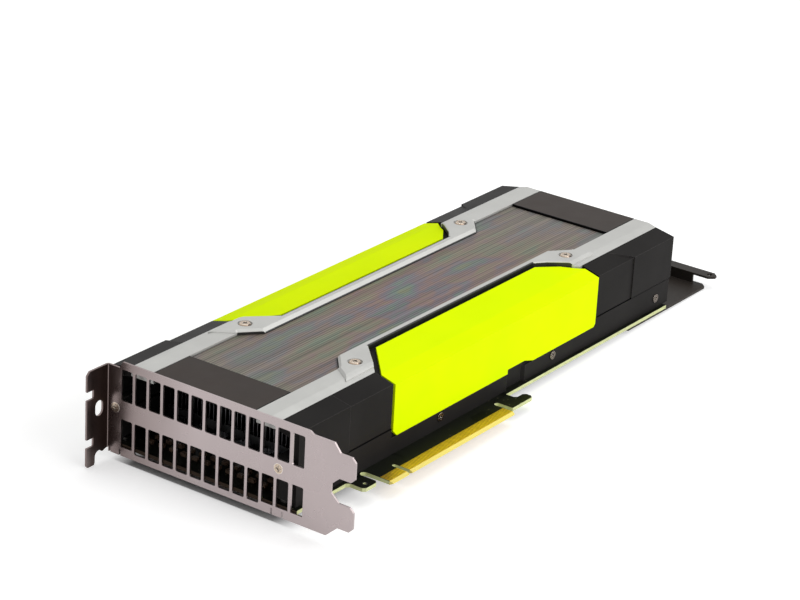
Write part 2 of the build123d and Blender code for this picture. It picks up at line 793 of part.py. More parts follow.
# Outline of the right rail seen from above, and the room the accent leaves for it
window_side = [
    (window_slant_front[0], window_half), (window_slant_front[1], strip_inner_half),
    (window_slant_rear[0], strip_inner_half), (window_slant_rear[1], window_half),
]
rail_plan = [
    (cover_front, window_half), *window_side, (cover_rear, window_half),
    (cover_rear, rail_outer_half), *reversed(tab_rear_edge), (tab_slant_front[1], strip_outer_half),
    (tab_slant_front[0], rail_outer_half), (cover_front, rail_outer_half),
]
pad_plan = [
    (pad_front, pad_outer_half), (window_slant_front[0] - pad_end_step, window_half), *window_side,
    (window_slant_rear[1] + pad_end_step, window_half), (pad_rear, pad_outer_half),
    *reversed(tab_rear_edge[:-1]), (tab_slant_front[1], strip_outer_half),
    (tab_slant_front[0] + rail_outer_half - pad_outer_half, pad_outer_half),
]

with BuildPart() as rail_right:
    with BuildSketch(Plane.YZ.offset(cover_front)):
        with BuildLine():
            Polyline(*[(near(h), z) for h, z in [
                (strip_inner_half, pad_root), (strip_inner_half, cover_top), (break_half, cover_top),
                (rail_outer_half, rail_outer_z), (rail_outer_half, rail_outer_z - rail_thickness),
                (break_half, pad_root)]], close=True)
        make_face()
    extrude(amount=frame_length)
    with BuildSketch(Plane.XY.offset(pad_root - rail_outer_half)):
        with BuildLine():
            Polyline(*[(x, near(h)) for x, h in rail_plan], close=True)
        make_face()
    extrude(amount=2 * rail_outer_half, mode=Mode.INTERSECT)
    with BuildSketch(Plane.XY.offset(pad_root)):
        with BuildLine():
            Polyline(*[(x, near(h)) for x, h in pad_plan], close=True)
        make_face()
    extrude(amount=pad_top - pad_root)
    pad_face = rail_right.faces().sort_by(Axis.Z)[-1]
    inner_edge = pad_face.edges().filter_by(Axis.X).sort_by(Axis.Y)[-1]
    chamfer(inner_edge, pad_bevel, length2=pad_bevel_drop, reference=pad_face)
    pad_face = rail_right.faces().sort_by(Axis.Z)[-1]
    side_edges = pad_face.edges().filter_by(Axis.X).filter_by(
        lambda e: e.center().Y < near(pad_outer_half - hair))
    chamfer(side_edges, pad_side_bevel, length2=pad_side_drop, reference=pad_face)
    pad_face = rail_right.faces().sort_by(Axis.Z)[-1]
    end_edges = pad_face.edges().filter_by(
        lambda e: e.center().Y > near(pad_outer_half) and e.length > pad_end_bevel
        and (e.center().X < rail_screw_x[0] - rail_screw_head
             or e.center().X > rail_screw_x[1] + rail_screw_head))
    chamfer(end_edges, pad_end_bevel)
    pad_face = rail_right.faces().sort_by(Axis.Z)[-1]
    accent_edges = pad_face.edges().filter_by(
        lambda e: near(pad_outer_half - pad_side_bevel) < e.center().Y < near(strip_outer_half - hair)
        and tab_slant_front[0] < e.center().X < tab_rear_edge[-1][0])
    chamfer(accent_edges, pad_chamfer)
    with BuildSketch(Plane.YZ.offset(cover_front)):
        with BuildLine():
            Polyline(*[(near(h), z) for h, z in [
                (window_half, rail_lip_z), (window_half, cover_top), (break_half, cover_top),
                (rail_outer_half, rail_outer_z), (rail_outer_half, rail_lip_z)]], close=True)
        make_face()
    extrude(amount=rail_lip)
    for bore, depth in ((rail_screw_shank + hair, pad_top - pad_root),
                        (rail_screw_head + rail_head_room, rail_head_sink)):
        with BuildSketch(Plane.XY.offset(pad_top)):
            with Locations(*[(x, near(rail_screw_half)) for x in rail_screw_x]):
                Circle(bore)
        extrude(amount=-depth, mode=Mode.SUBTRACT)
rail_right.part.label = "rail_right"

with BuildPart() as rail_left:
    mirror(rail_right.part, about=mid_plane)
rail_left.part.label = "rail_left"

# Dark panels flush with the cover at both ends of the window
panel_width = 2 * (window_half - panel_side_gap)
with BuildPart() as front_panel:
    with BuildSketch(Plane.XY.offset(panel_bottom)):
        with Locations(((cover_front + window_front - panel_end_gap) / 2, -middle)):
            Rectangle(window_front - panel_end_gap - cover_front, panel_width)
    extrude(amount=panel_thickness)
front_panel.part.label = "front_panel"

with BuildPart() as rear_panel:
    with BuildSketch(Plane.XY.offset(panel_bottom)):
        with Locations(((window_rear + panel_end_gap + cover_rear) / 2, -middle)):
            Rectangle(cover_rear - window_rear - panel_end_gap, panel_width)
    extrude(amount=panel_thickness)
rear_panel.part.label = "rear_panel"

# Bright accent: one folded moulding over the shoulder and the side, cut to clear the rail's tabs
accent_outside = [(accent_inner_half, accent_inner_z), (ridge_half, ridge_z),
                  (accent_side_half, accent_fold_z), (accent_side_half, accent_bottom)]
accent_inside = [(accent_side_half - accent_wall, accent_bottom),
                 (accent_side_half - accent_wall, accent_fold_z - accent_inner_fold),
                 (ridge_half - accent_inner_ridge, ridge_z - accent_wall),
                 (accent_inner_half, accent_inner_z - accent_wall)]
with BuildPart() as accent_right:
    with BuildSketch(Plane.YZ.offset(accent_front)):
        with BuildLine():
            Polyline(*[(near(h), z) for h, z in accent_outside + accent_inside], close=True)
        make_face()
    extrude(amount=accent_rear - accent_front)
    with BuildSketch(Plane.XY.offset(accent_fold_z - accent_wall)):
        with BuildLine():
            Polyline(*[(x, near(h)) for x, h in [
                (accent_front, accent_corner_half), (accent_front, accent_inner_half),
                (accent_corner_x, accent_inner_half)]], close=True)
        make_face()
        with BuildLine():
            Polyline(*([(x, near(h)) for x, h in accent_tail] + [(accent_rear, near(accent_inner_half))]),
                     close=True)
        make_face()
    extrude(amount=pad_top - accent_fold_z + accent_wall, mode=Mode.SUBTRACT)
    foot_y = near(accent_side_half)
    with BuildSketch(Plane(origin=(0, foot_y, 0), x_dir=(1, 0, 0), z_dir=(0, -1, 0))):
        with BuildLine():
            Polyline((accent_front, accent_bottom), (accent_front, accent_bottom + accent_foot_cut),
                     (accent_front + accent_foot_cut, accent_bottom), close=True)
        make_face()
        with BuildLine():
            Polyline((accent_rear, accent_bottom), (accent_rear, accent_bottom + accent_foot_rear),
                     (accent_rear - accent_foot_rear, accent_bottom), close=True)
        make_face()
        with BuildLine():
            Polyline((accent_step[0], accent_bottom), (accent_step[0], accent_step_z),
                     (accent_step[1], accent_step_z), (accent_step[2], accent_bottom), close=True)
        make_face()
    extrude(amount=-2 * accent_wall, mode=Mode.SUBTRACT)
accent_right.part.label = "accent_right"

with BuildPart() as accent_left:
    mirror(accent_right.part, about=mid_plane)
accent_left.part.label = "accent_left"

# Room cut into the cover for the accent, with a dark gap left all round it
pocket_half = accent_side_half + 2 * accent_wall
pocket_profile = [
    (strip_outer_half - hair, pad_top), (strip_outer_half - hair, accent_inner_z - accent_wall),
    *reversed(accent_inside), (pocket_half, accent_bottom), (pocket_half, pad_top),
]
pocket_plan = [
    (accent_front - accent_gap, pocket_half), (accent_front - accent_gap, rail_outer_half),
    (tab_slant_front[0] - hair, rail_outer_half), (tab_slant_front[1] - hair, strip_outer_half - hair),
    *[(x + hair, h - hair) for x, h in tab_rear_edge], (accent_rear + accent_gap, rail_outer_half),
    (accent_rear + accent_gap, pocket_half),
]
with BuildPart() as accent_pocket:
    with BuildSketch(Plane.YZ.offset(accent_front - accent_gap)):
        with BuildLine():
            Polyline(*[(near(h), z) for h, z in pocket_profile], close=True)
        make_face()
    extrude(amount=accent_rear - accent_front + 2 * accent_gap)
    with BuildSketch(Plane.XY):
        with BuildLine():
            Polyline(*[(x, near(h)) for x, h in pocket_plan], close=True)
        make_face()
    extrude(amount=2 * cover_top, mode=Mode.INTERSECT)

# The proud end blocks on both sides of the cover, the rear ones slanted forward on the shoulder
block_profile = [
    (fold_half - hair, cover_bottom), (fold_half - hair, fold_z), (rail_outer_half, rail_outer_z),
    (fold_half + block_step, fold_z + block_step), (fold_half + block_step, cover_bottom),
]
between_blocks = [
    (front_block_rear, fold_half + 2 * block_step), (front_block_rear, rail_outer_half),
    (rear_block_front - block_slant, rail_outer_half), (rear_block_front, fold_half),
    (rear_block_front, fold_half + 2 * block_step),
]
with BuildPart() as end_blocks:
    for side in (near, far):
        with BuildSketch(Plane.YZ.offset(cover_front)):
            with BuildLine():
                Polyline(*[(side(h), z) for h, z in block_profile], close=True)
            make_face()
        extrude(amount=frame_length)
        with BuildSketch(Plane.XY):
            with BuildLine():
                Polyline(*[(x, side(h)) for x, h in between_blocks], close=True)
            make_face()
        extrude(amount=2 * cover_top, mode=Mode.SUBTRACT)

# The cover: a long shell open at the bracket end and at the rear, with everything above let into it
cover_outside = [(fold_half, cover_bottom), (fold_half, fold_z), (break_half, cover_top)]
cover_inside = [(cavity_half, cover_bottom), (cavity_half, cavity_fold_z), (break_half, cavity_top)]
with BuildPart() as cover:
    with BuildSketch(Plane.YZ.offset(cover_front)):
        with BuildLine():
            Polyline(*both(cover_outside), close=True)
        make_face()
        with BuildLine():
            Polyline(*both(cover_inside), close=True)
        make_face(mode=Mode.SUBTRACT)
    extrude(amount=frame_length)
    add(end_blocks.part)
    seam_edges = cover.edges().filter_by(Axis.X).filter_by(
        lambda e: e.center().Z < cover_bottom + hair and abs(e.center().Y + middle) > fold_half - 2 * hair)
    chamfer(seam_edges, seam_chamfer)
    for x in side_screw_x:
        for side in (near, far):
            with BuildSketch(Plane.YZ.offset(x - lug_width / 2)):
                with BuildLine():
                    Polyline(*[(side(h), z) for h, z in [
                        (lug_half, floor_top + hair), (lug_half, cover_bottom + hair),
                        (cavity_half + hair, cover_bottom + hair), (cavity_half + hair, lug_top),
                        (lug_half - lug_thickness, lug_top), (lug_half - lug_thickness, floor_top + hair)]],
                        close=True)
                make_face()
            extrude(amount=lug_width)
    with BuildSketch(Plane.XZ):
        with Locations(*[(x, side_screw_z) for x in side_screw_x]):
            Circle(side_screw_shank)
    extrude(amount=bracket_span, both=True, mode=Mode.SUBTRACT)
    with BuildSketch(Plane.XY.offset(cavity_fold_z)):
        with BuildLine():
            Polyline(*window_outline(window_half, strip_inner_half, window_front, window_rear), close=True)
        make_face()
    extrude(amount=cover_top, mode=Mode.SUBTRACT)
    with BuildSketch(Plane.XY.offset(panel_bottom)):
        for pocket_from, pocket_to in ((cover_front, window_front), (window_rear, cover_rear)):
            with Locations(((pocket_from + pocket_to) / 2, -middle)):
                Rectangle(pocket_to - pocket_from, 2 * window_half)
    extrude(amount=panel_thickness, mode=Mode.SUBTRACT)
    add(rail_right.part, mode=Mode.SUBTRACT)
    add(rail_left.part, mode=Mode.SUBTRACT)
    for side in (near, far):
        with BuildSketch(Plane.XY.offset(pad_root)):
            with BuildLine():
                Polyline(*[(x, side(h)) for x, h in pad_plan], close=True)
            make_face()
        extrude(amount=pad_top - pad_root, mode=Mode.SUBTRACT)
    add(accent_pocket.part, mode=Mode.SUBTRACT)
    mirror(accent_pocket.part, about=mid_plane, mode=Mode.SUBTRACT)
    with BuildSketch(Plane.XY.offset(cavity_top - rail_screw_length)):
        with Locations(*[(x, side(rail_screw_half)) for x in rail_screw_x for side in (near, far)]):
            Circle(rail_screw_shank)
    extrude(amount=cover_top, mode=Mode.SUBTRACT)
cover.part.label = "cover"

# Screws through the rails, with a cross recess
with BuildPart() as rail_screws:
    for x in rail_screw_x:
        for side in (near, far):
            with Locations((x, side(rail_screw_half), pad_top - rail_head_sink)):
                Cone(rail_screw_head, rail_head_top, rail_head_sink + rail_head_rise,
                     align=(Align.CENTER, Align.CENTER, Align.MIN))
                Cylinder(rail_screw_shank, rail_screw_length, align=(Align.CENTER, Align.CENTER, Align.MAX))
            with Locations((x, side(rail_screw_half), pad_top + rail_head_rise)):
                cross_recess(rail_head_top, rail_head_sink)
rail_screws.part.label = "rail_screws"

# Screws through both walls of the frame into the lugs of the cover
with BuildPart() as side_screws:
    for x in side_screw_x:
        for side, turn in ((near, 90), (far, -90)):
            with Locations(Location((x, side(frame_half), side_screw_z), (turn, 0, 0))):
                Cylinder(side_screw_head, side_head_rise, align=(Align.CENTER, Align.CENTER, Align.MIN))
                Cylinder(side_screw_shank, side_screw_length, align=(Align.CENTER, Align.CENTER, Align.MAX))
            with Locations(Location((x, side(frame_half + side_head_rise), side_screw_z), (turn, 0, 0))):
                cross_recess(side_screw_head, side_head_rise)
side_screws.part.label = "side_screws"

# Cross brace under the processor and the screws that draw the heatsink down
with BuildPart() as back_brace:
    with BuildSketch(Plane.XY.offset(board_bottom - brace_thickness)):
        with Locations((chip_x, -middle)):
            Rectangle(brace_width, 2 * brace_arm * 2 ** 0.5, rotation=45)
            Rectangle(brace_width, 2 * brace_arm * 2 ** 0.5, rotation=-45)
            Rectangle(brace_ring + brace_width, brace_ring + brace_width)
            Rectangle(brace_open, brace_open, mode=Mode.SUBTRACT)
        with Locations(*brace_spots):
            Circle(brace_width / 2)
            Circle(under_shank + hair, mode=Mode.SUBTRACT)
    extrude(amount=brace_thickness)
back_brace.part.label = "back_brace"

with BuildPart() as brace_screws:
    for x, y in brace_spots:
        with Locations((x, y, board_bottom - brace_thickness)):
            Cylinder(under_head_radius, under_head, align=(Align.CENTER, Align.CENTER, Align.MAX))
            Cylinder(under_shank, brace_depth, align=(Align.CENTER, Align.CENTER, Align.MIN))
        with Locations((x, y, board_bottom - brace_thickness - under_head)):
            cross_recess(under_head_radius, under_head / 2)
brace_screws.part.label = "brace_screws"

# Screws from the solder side into the frame
with BuildPart() as frame_screws:
    for x, y in frame_screw_spots:
        with Locations((x, y, board_bottom)):
            Cylinder(under_head_radius, under_head, align=(Align.CENTER, Align.CENTER, Align.MAX))
            Cylinder(under_shank, board_thickness + under_depth,
                     align=(Align.CENTER, Align.CENTER, Align.MIN))
        with Locations((x, y, board_bottom - under_head)):
            cross_recess(under_head_radius, under_head / 2)
frame_screws.part.label = "frame_screws"

# Rear extender: a folded sheet under the board with an upright, a ledge and an ear with its hole
with BuildPart() as rear_extender:
    with BuildSketch(Plane.XY.offset(board_bottom - extender_sheet)):
        with BuildLine():
            Polyline(
                (extender_front, -extender_near),
                (extender_rear - extender_corner, -extender_near),
                (extender_rear, -(extender_near - extender_corner)),
                (extender_rear, -extender_far),
                (extender_front, -extender_far),
                close=True,
            )
        make_face()
        with Locations(*extender_spots):
            Circle(under_shank + hair, mode=Mode.SUBTRACT)
    extrude(amount=extender_sheet)
    with BuildSketch(Plane.XY.offset(board_bottom)):
        with Locations((upright_x + extender_sheet / 2, -(upright_near + ledge_far) / 2)):
            Rectangle(extender_sheet, upright_near - ledge_far)
    extrude(amount=ledge_top - board_bottom)
    with BuildSketch(Plane.XY.offset(ledge_top - extender_sheet)):
        with BuildLine():
            Polyline(
                (upright_x, -ledge_far),
                (upright_x, -(ledge_near - ledge_corner)),
                (upright_x + ledge_corner, -ledge_near),
                (ledge_rear - ledge_corner, -ledge_near),
                (ledge_rear, -(ledge_near - ledge_corner)),
                (ledge_rear, -ledge_far),
                close=True,
            )
        make_face()
        with Locations((ear_hole_x, -ear_hole_reach)):
            Circle(ear_hole_radius, mode=Mode.SUBTRACT)
    extrude(amount=extender_sheet)
rear_extender.part.label = "rear_extender"

with BuildPart() as extender_screws:
    for x, y in extender_spots:
        with Locations((x, y, board_bottom - extender_sheet)):
            Cylinder(under_head_radius, under_head, align=(Align.CENTER, Align.CENTER, Align.MAX))
            Cylinder(under_shank, extender_sheet + board_thickness + under_depth,
                     align=(Align.CENTER, Align.CENTER, Align.MIN))
        with Locations((x, y, board_bottom - extender_sheet - under_head)):
            cross_recess(under_head_radius, under_head / 2)
extender_screws.part.label = "extender_screws"

# The origin is moved to the middle of the card's foot, and every piece is written
foot_middle = Location((
    -(ledge_rear - flange_depth) / 2, (bracket_span + tip_reach - board_height) / 2, -finger_tip))
for piece in (
    io_bracket, bracket_screws, tab_screws, circuit_board, edge_contacts, processor_package,
    processor_die, package_stiffener, memory_chips, thermal_pads, power_coils, power_stages,
    can_capacitors, small_capacitors, controller_chip, power_socket, socket_pins, base_frame,
    heatsink_base, heatsink_fins, fin_sheet_plate, rail_right, rail_left, front_panel, rear_panel,
    accent_right, accent_left, cover, rail_screws, side_screws, back_brace, brace_screws,
    frame_screws, rear_extender, extender_screws,
):
    piece.part.locate(foot_middle)
    export_step(piece.part, f"parts/{piece.part.label}.step")
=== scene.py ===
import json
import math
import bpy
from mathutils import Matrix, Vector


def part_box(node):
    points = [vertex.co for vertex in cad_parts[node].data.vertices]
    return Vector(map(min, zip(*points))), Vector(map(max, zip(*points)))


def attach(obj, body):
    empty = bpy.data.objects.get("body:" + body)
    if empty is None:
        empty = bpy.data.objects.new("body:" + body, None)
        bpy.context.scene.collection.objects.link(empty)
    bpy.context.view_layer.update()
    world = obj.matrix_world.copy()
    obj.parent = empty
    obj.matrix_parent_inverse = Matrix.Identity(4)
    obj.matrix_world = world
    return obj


bl_info = {
    "name": "Passive Accelerator Card",
    "version": (1, 0, 0),
    "blender": (4, 5, 0),
    "location": "View3D > Sidebar > Card",
    "description": "Finishes, small board parts and a studio stage for a passive accelerator card",
    "category": "Object",
}

import bmesh
import bpy
from mathutils import Matrix, Vector

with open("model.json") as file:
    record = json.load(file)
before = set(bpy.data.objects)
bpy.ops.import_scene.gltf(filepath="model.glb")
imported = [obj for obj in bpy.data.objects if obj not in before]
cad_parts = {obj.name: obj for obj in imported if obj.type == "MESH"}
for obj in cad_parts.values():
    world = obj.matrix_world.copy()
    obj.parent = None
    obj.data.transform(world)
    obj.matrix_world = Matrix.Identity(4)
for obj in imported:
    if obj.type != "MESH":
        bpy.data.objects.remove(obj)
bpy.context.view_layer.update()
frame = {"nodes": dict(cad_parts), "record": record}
NODES = frame["nodes"]

MM = 0.001
BOARD_LOW, BOARD_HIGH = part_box("circuit_board")
BRACKET_LOW, BRACKET_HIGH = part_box("io_bracket")
# How far the bracket's flange reaches ahead of its plate, and the flange's finger below the card's zero, in
# millimetres
FLANGE_REACH = 12.0
FOOT_DROP = 4.2
# The card's zero: on the outer faces of the bracket's plate and flange, above the tip of the finger
CARD_ZERO = Vector((BRACKET_LOW.x + FLANGE_REACH * MM, BRACKET_HIGH.y, BRACKET_LOW.z + FOOT_DROP * MM))


def at(x, y, z):
    """A point in millimetres from the card's zero: along the card, across it and up."""
    return CARD_ZERO + Vector((x, y, z)) * MM


def colour(name, description, default):
    return bpy.props.FloatVectorProperty(name=name, description=description, subtype="COLOR", size=4,
                                         min=0.0, max=1.0, default=(*default, 1.0))


def length(name, description, default):
    return bpy.props.FloatProperty(name=name, description=description, default=default * MM, min=0.0,
                                   unit="LENGTH", precision=5)


def shift(name, description, default):
    return bpy.props.FloatProperty(name=name, description=description, default=default * MM, unit="LENGTH")


def angle(name, description, default):
    return bpy.props.FloatProperty(name=name, description=description, default=math.radians(default),
                                   unit="ROTATION")


def power(name, description, default):
    return bpy.props.FloatProperty(name=name, description=description, default=default, min=0.0,
                                   unit="POWER")


class CardColours(bpy.types.PropertyGroup):
    plate: colour("Bracket", "Nickel plating of the bracket", (0.43, 0.37, 0.37))
    shell: colour("Cover", "Black finish of the cover and frame", (0.019, 0.0178, 0.0172))
    panel: colour("Panels", "Brown-black finish of the end panels", (0.022, 0.014, 0.010))
    rail: colour("Rails", "Matte silver of the rails", (0.49, 0.49, 0.47))
    window: colour("Window", "Brushed sheet over the fins", (0.131, 0.131, 0.110))
    accent: colour("Accents", "Yellow-green of the accents", (0.76, 1.0, 0.0))
    board: colour("Board", "Solder mask of the board", (0.005, 0.0055, 0.004))
    board_edge: colour("Board edge", "Cut edge of the board", (0.74, 0.78, 0.42))
    gold: colour("Contacts", "Gold of the edge contacts", (0.93, 0.55, 0.07))
    screw: colour("Screws", "Passivated cross-recess screws", (0.50, 0.40, 0.31))
    extender: colour("Extender", "Powder coat of the rear extender", (0.022, 0.018, 0.015))


class CardSizes(bpy.types.PropertyGroup):
    land_width: length("Land width", "Width of the plated ring round the tab's hole", 0.35)
    land_rise: length("Land rise", "How far plating stands above the mask", 0.03)
    chip_length: length("Chip capacitor length", "Small parts on the solder side", 1.6)
    chip_width: length("Chip capacitor width", "Small parts on the solder side", 0.8)
    chip_height: length("Chip capacitor height", "Small parts on the solder side", 0.7)
    joint_radius: length("Joint radius", "Solder joints of the cans and the socket's pins", 0.8)
    soft_edge: length("Soft edge", "How far the finishes round the sharp edges", 0.25)


class StageSettings(bpy.types.PropertyGroup):
    key_power: power("Key", "Power of the top softbox", 4.0)
    side_power: power("Side", "Power of the side softbox", 20.0)
    world_strength: bpy.props.FloatProperty(name="World", description="Strength of the plain surroundings",
                                            default=0.36, min=0.0)
    lens: bpy.props.FloatProperty(name="Lens", description="Focal length", default=129.225, min=1.0,
                                  unit="CAMERA")
    turn: angle("Turn", "Compass direction from the card to the camera", -145.277)
    height: angle("Height", "How high the camera stands over the card", 22.86)
    roll: angle("Roll", "How far the camera is tilted about its line of sight", 3.2)
    distance: length("Distance", "From the camera to the point it is set by", 1179.689)
    across: shift("Across", "The camera's place to the right of that point", -10.812)
    above: shift("Above", "The camera's place over that point", 22.651)


# Softboxes: place, width and height in metres, and the setting that holds the power
SOFTBOXES = {
    "top_softbox": ((0.15, 0.05, 1.0), (1.1, 0.7), "key_power"),
    "side_softbox": ((0.30, -1.35, 0.72), (2.2, 1.2), "side_power"),
}
# Half the floor's side, and where its glow starts to rise and is full around the card, in metres
FLOOR_REACH = 6.0
FADE_RUN = (0.25, 1.0)
# The glow near the card and far from it
FADE_GLOW = (0.45, 0.95)
# Gap between floor and card, soft edge of the floor that the card covers and where that starts behind the
# bracket's outer face, in millimetres
FLOOR_GAP = 0.02
COVERED_EDGE = 10.0
COVERED_START = 1.0
# The camera is set by this point of the card, in millimetres
CAMERA_POINT = (130, -60, 15)


def finish_name(slot):
    return slot + "_finish"


class Graph:
    """A new node material with the few links that the finishes share."""

    def __init__(self, name):
        self.material = bpy.data.materials.new(finish_name(name))
        self.material.use_nodes = True
        self.nodes = self.material.node_tree.nodes
        self.links = self.material.node_tree.links
        self.shader = self.nodes["Principled BSDF"]
        self.place = self.nodes.new("ShaderNodeTexCoord").outputs["Object"]

    def add(self, kind, **settings):
        node = self.nodes.new("ShaderNode" + kind)
        for key, value in settings.items():
            setattr(node, key, value)
        return node

    def join(self, source, target):
        self.links.new(source, target)

    def stretched(self, scale):
        node = self.add("Mapping")
        node.inputs["Scale"].default_value = scale
        self.join(self.place, node.inputs["Vector"])
        return node.outputs["Vector"]

    def noise(self, scale, detail=3.0, roughness=0.5, vector=None):
        node = self.add("TexNoise")
        node.inputs["Scale"].default_value = scale
        node.inputs["Detail"].default_value = detail
        node.inputs["Roughness"].default_value = roughness
        self.join(vector or self.place, node.inputs["Vector"])
        return node.outputs["Fac"]

    def ramp(self, source, stops):
        node = self.add("ValToRGB")
        ramp = node.color_ramp
        while len(ramp.elements) < len(stops):
            ramp.elements.new(0.5)
        for element, (place, value) in zip(ramp.elements, stops):
            element.position = place
            element.color = (*value, 1.0)
        self.join(source, node.inputs["Fac"])
        return node.outputs["Color"]

    def spread(self, source, low, high):
        node = self.add("MapRange")
        node.inputs["To Min"].default_value = low
        node.inputs["To Max"].default_value = high
        self.join(source, node.inputs["Value"])
        return node.outputs["Result"]

    def math(self, operation, a, b=None):
        node = self.add("Math", operation=operation)
        for socket, value in zip(node.inputs, (a, b)):
            if value is None:
                continue
            if isinstance(value, (int, float)):
                socket.default_value = value
            else:
                self.join(value, socket)
        return node.outputs["Value"]

    def mix(self, factor, a, b, blend="MIX"):
        node = self.add("Mix", data_type="RGBA", blend_type=blend)
        colours = {socket.name: socket for socket in node.inputs if socket.type == "RGBA"}
        for socket, value in ((node.inputs["Factor"], factor), (colours["A"], a), (colours["B"], b)):
            if isinstance(value, (int, float)):
                socket.default_value = value
            elif isinstance(value, tuple):
                socket.default_value = (*value, 1.0)
            else:
                self.join(value, socket)
        return next(socket for socket in node.outputs if socket.type == "RGBA")

    def lines(self, scale, direction, warp=0.0):
        """Even parallel lines across one direction."""
        node = self.add("TexWave", wave_type="BANDS", bands_direction=direction)
        node.inputs["Scale"].default_value = scale
        node.inputs["Distortion"].default_value = warp
        node.inputs["Detail Scale"].default_value = 0.1
        self.join(self.place, node.inputs["Vector"])
        return node.outputs["Fac"]

    def axis(self, source, which):
        node = self.add("SeparateXYZ")
        self.join(source, node.inputs["Vector"])
        return node.outputs[which]

    def normal(self, which):
        return self.axis(self.add("NewGeometry").outputs["Normal"], which)

    def edge(self, radius, reach=0.06):
        """1 along sharp outer edges and 0 elsewhere, from a rounded normal."""
        bevel = self.add("Bevel", samples=4)
        bevel.inputs["Radius"].default_value = radius
        turn = self.add("VectorMath", operation="DOT_PRODUCT")
        self.join(bevel.outputs["Normal"], turn.inputs[0])
        self.join(self.add("NewGeometry").outputs["Normal"], turn.inputs[1])
        node = self.add("MapRange")
        node.inputs["From Min"].default_value = 1.0
        node.inputs["From Max"].default_value = 1.0 - reach
        self.join(turn.outputs["Value"], node.inputs["Value"])
        return node.outputs["Result"]

    def sheltered(self, distance, depth=1.5):
        """0 deep in a recess and 1 in the open."""
        node = self.add("AmbientOcclusion", samples=4)
        node.inputs["Distance"].default_value = distance
        return self.math("POWER", node.outputs["AO"], depth)

    def between(self, source, low, high):
        """1 where a value lies between two limits."""
        over = self.math("GREATER_THAN", source, low)
        return self.math("MULTIPLY", over, self.math("LESS_THAN", source, high))

    def between_points(self, source, start, end):
        """0 at one place and 1 at the other, limited to that range."""
        node = self.add("MapRange")
        node.inputs["From Min"].default_value = start
        node.inputs["From Max"].default_value = end
        self.join(source, node.inputs["Value"])
        return node.outputs["Result"]

    def bump(self, source, strength, distance, soft_edge=0.0):
        node = self.add("Bump")
        node.inputs["Strength"].default_value = strength
        node.inputs["Distance"].default_value = distance
        self.join(source, node.inputs["Height"])
        if soft_edge:
            bevel = self.add("Bevel", samples=4)
            bevel.inputs["Radius"].default_value = soft_edge
            self.join(bevel.outputs["Normal"], node.inputs["Normal"])
        self.join(node.outputs["Normal"], self.shader.inputs["Normal"])

    def set(self, **sockets):
        for key, value in sockets.items():
            socket = self.shader.inputs[key.replace("_", " ")]
            if isinstance(value, (int, float, tuple)):
                socket.default_value = value
            else:
                self.join(value, socket)
        return self.material


# Painted shade: the blacks of the narrow gaps, of the lines along the rails and of the window's shaded edge
GAP_SHADE_BLACK = (0.0005, 0.0005, 0.0005)
LINE_SHADE_BLACK = (0.002, 0.002, 0.002)
SHADE_BLACK = (0.004, 0.004, 0.004)
# Height and half width of the painted shade line along the seam between cover and frame, in millimetres
SEAM_HEIGHT = 15.4
SEAM_SHADE_HALF = 0.4
# Where the plate's browner painted reflection starts and is full across the card, and the tones of the
# flange's dark painted reflection along it, in millimetres from the card's zero
PLATE_REFLECTION_RUN = (-45.0, -2.0)
FLANGE_START = -0.2
FLANGE_REFLECTION_SWEEP = (-3.0, -FLANGE_REACH)
# Width of the painted shade line round the end panels, in millimetres
RIM_SHADE_WIDTH = 0.3
# Depth of the painted shade on the board's front edge and length of the tongue's bevelled tip, in millimetres
BOARD_FRONT_SHADE = 0.3
TIP_BEVEL = 1.4
# Run and outer edge of the rails' raised pads, in millimetres, and how far under their top the side walls
# are painted black as shade: those toward the accents and those toward the window
PAD_RUN = (53.5, 218.9)
PAD_OUTER = 33.9
OUTER_WALL_DROP = 0.5
INNER_WALL_DROP = 1.1
# Run and outer edge of the narrow rail strips beside the accents, and their painted shade line, in
# millimetres
STRIP_RUN = (76.9, 194.7)
STRIP_OUTER = 21.7
STRIP_SHADE = 0.55
# Run and outer edge of the strips' bevel along the window, and the painted shade line at its foot, in
# millimetres
BEVEL_RUN = (62.6, 209.4)
BEVEL_OUTER = 19.3
BEVEL_SHADE = 0.5


def along(g, run):
    """1 between two places along the card, given in millimetres."""
    return g.between(g.axis(g.place, "X"), at(run[0], 0, 0).x, at(run[1], 0, 0).x)


def tones(base, spread):
    """Two near tones of one colour."""
    low = tuple(max(0.0, c * (1 - spread)) for c in base[:3])
    high = tuple(min(1.0, c * (1 + spread)) for c in base[:3])
    return low, high


def panel_rim_shade(g):
    """1 along the thin gap round the end panels, on the sides by the rails and by the window, where shade is
    painted.
    """
    front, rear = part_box("front_panel"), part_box("rear_panel")
    middle = (front[0].y + front[1].y) / 2
    half = (front[1].y - front[0].y) / 2
    off = g.math("ABSOLUTE", g.math("SUBTRACT", g.axis(g.place, "Y"), middle))
    sides = g.math("GREATER_THAN", off, half - RIM_SHADE_WIDTH * MM)
    x = g.axis(g.place, "X")
    ends = g.between(x, front[1].x - RIM_SHADE_WIDTH * MM, rear[0].x + RIM_SHADE_WIDTH * MM)
    return g.math("MAXIMUM", sides, ends)


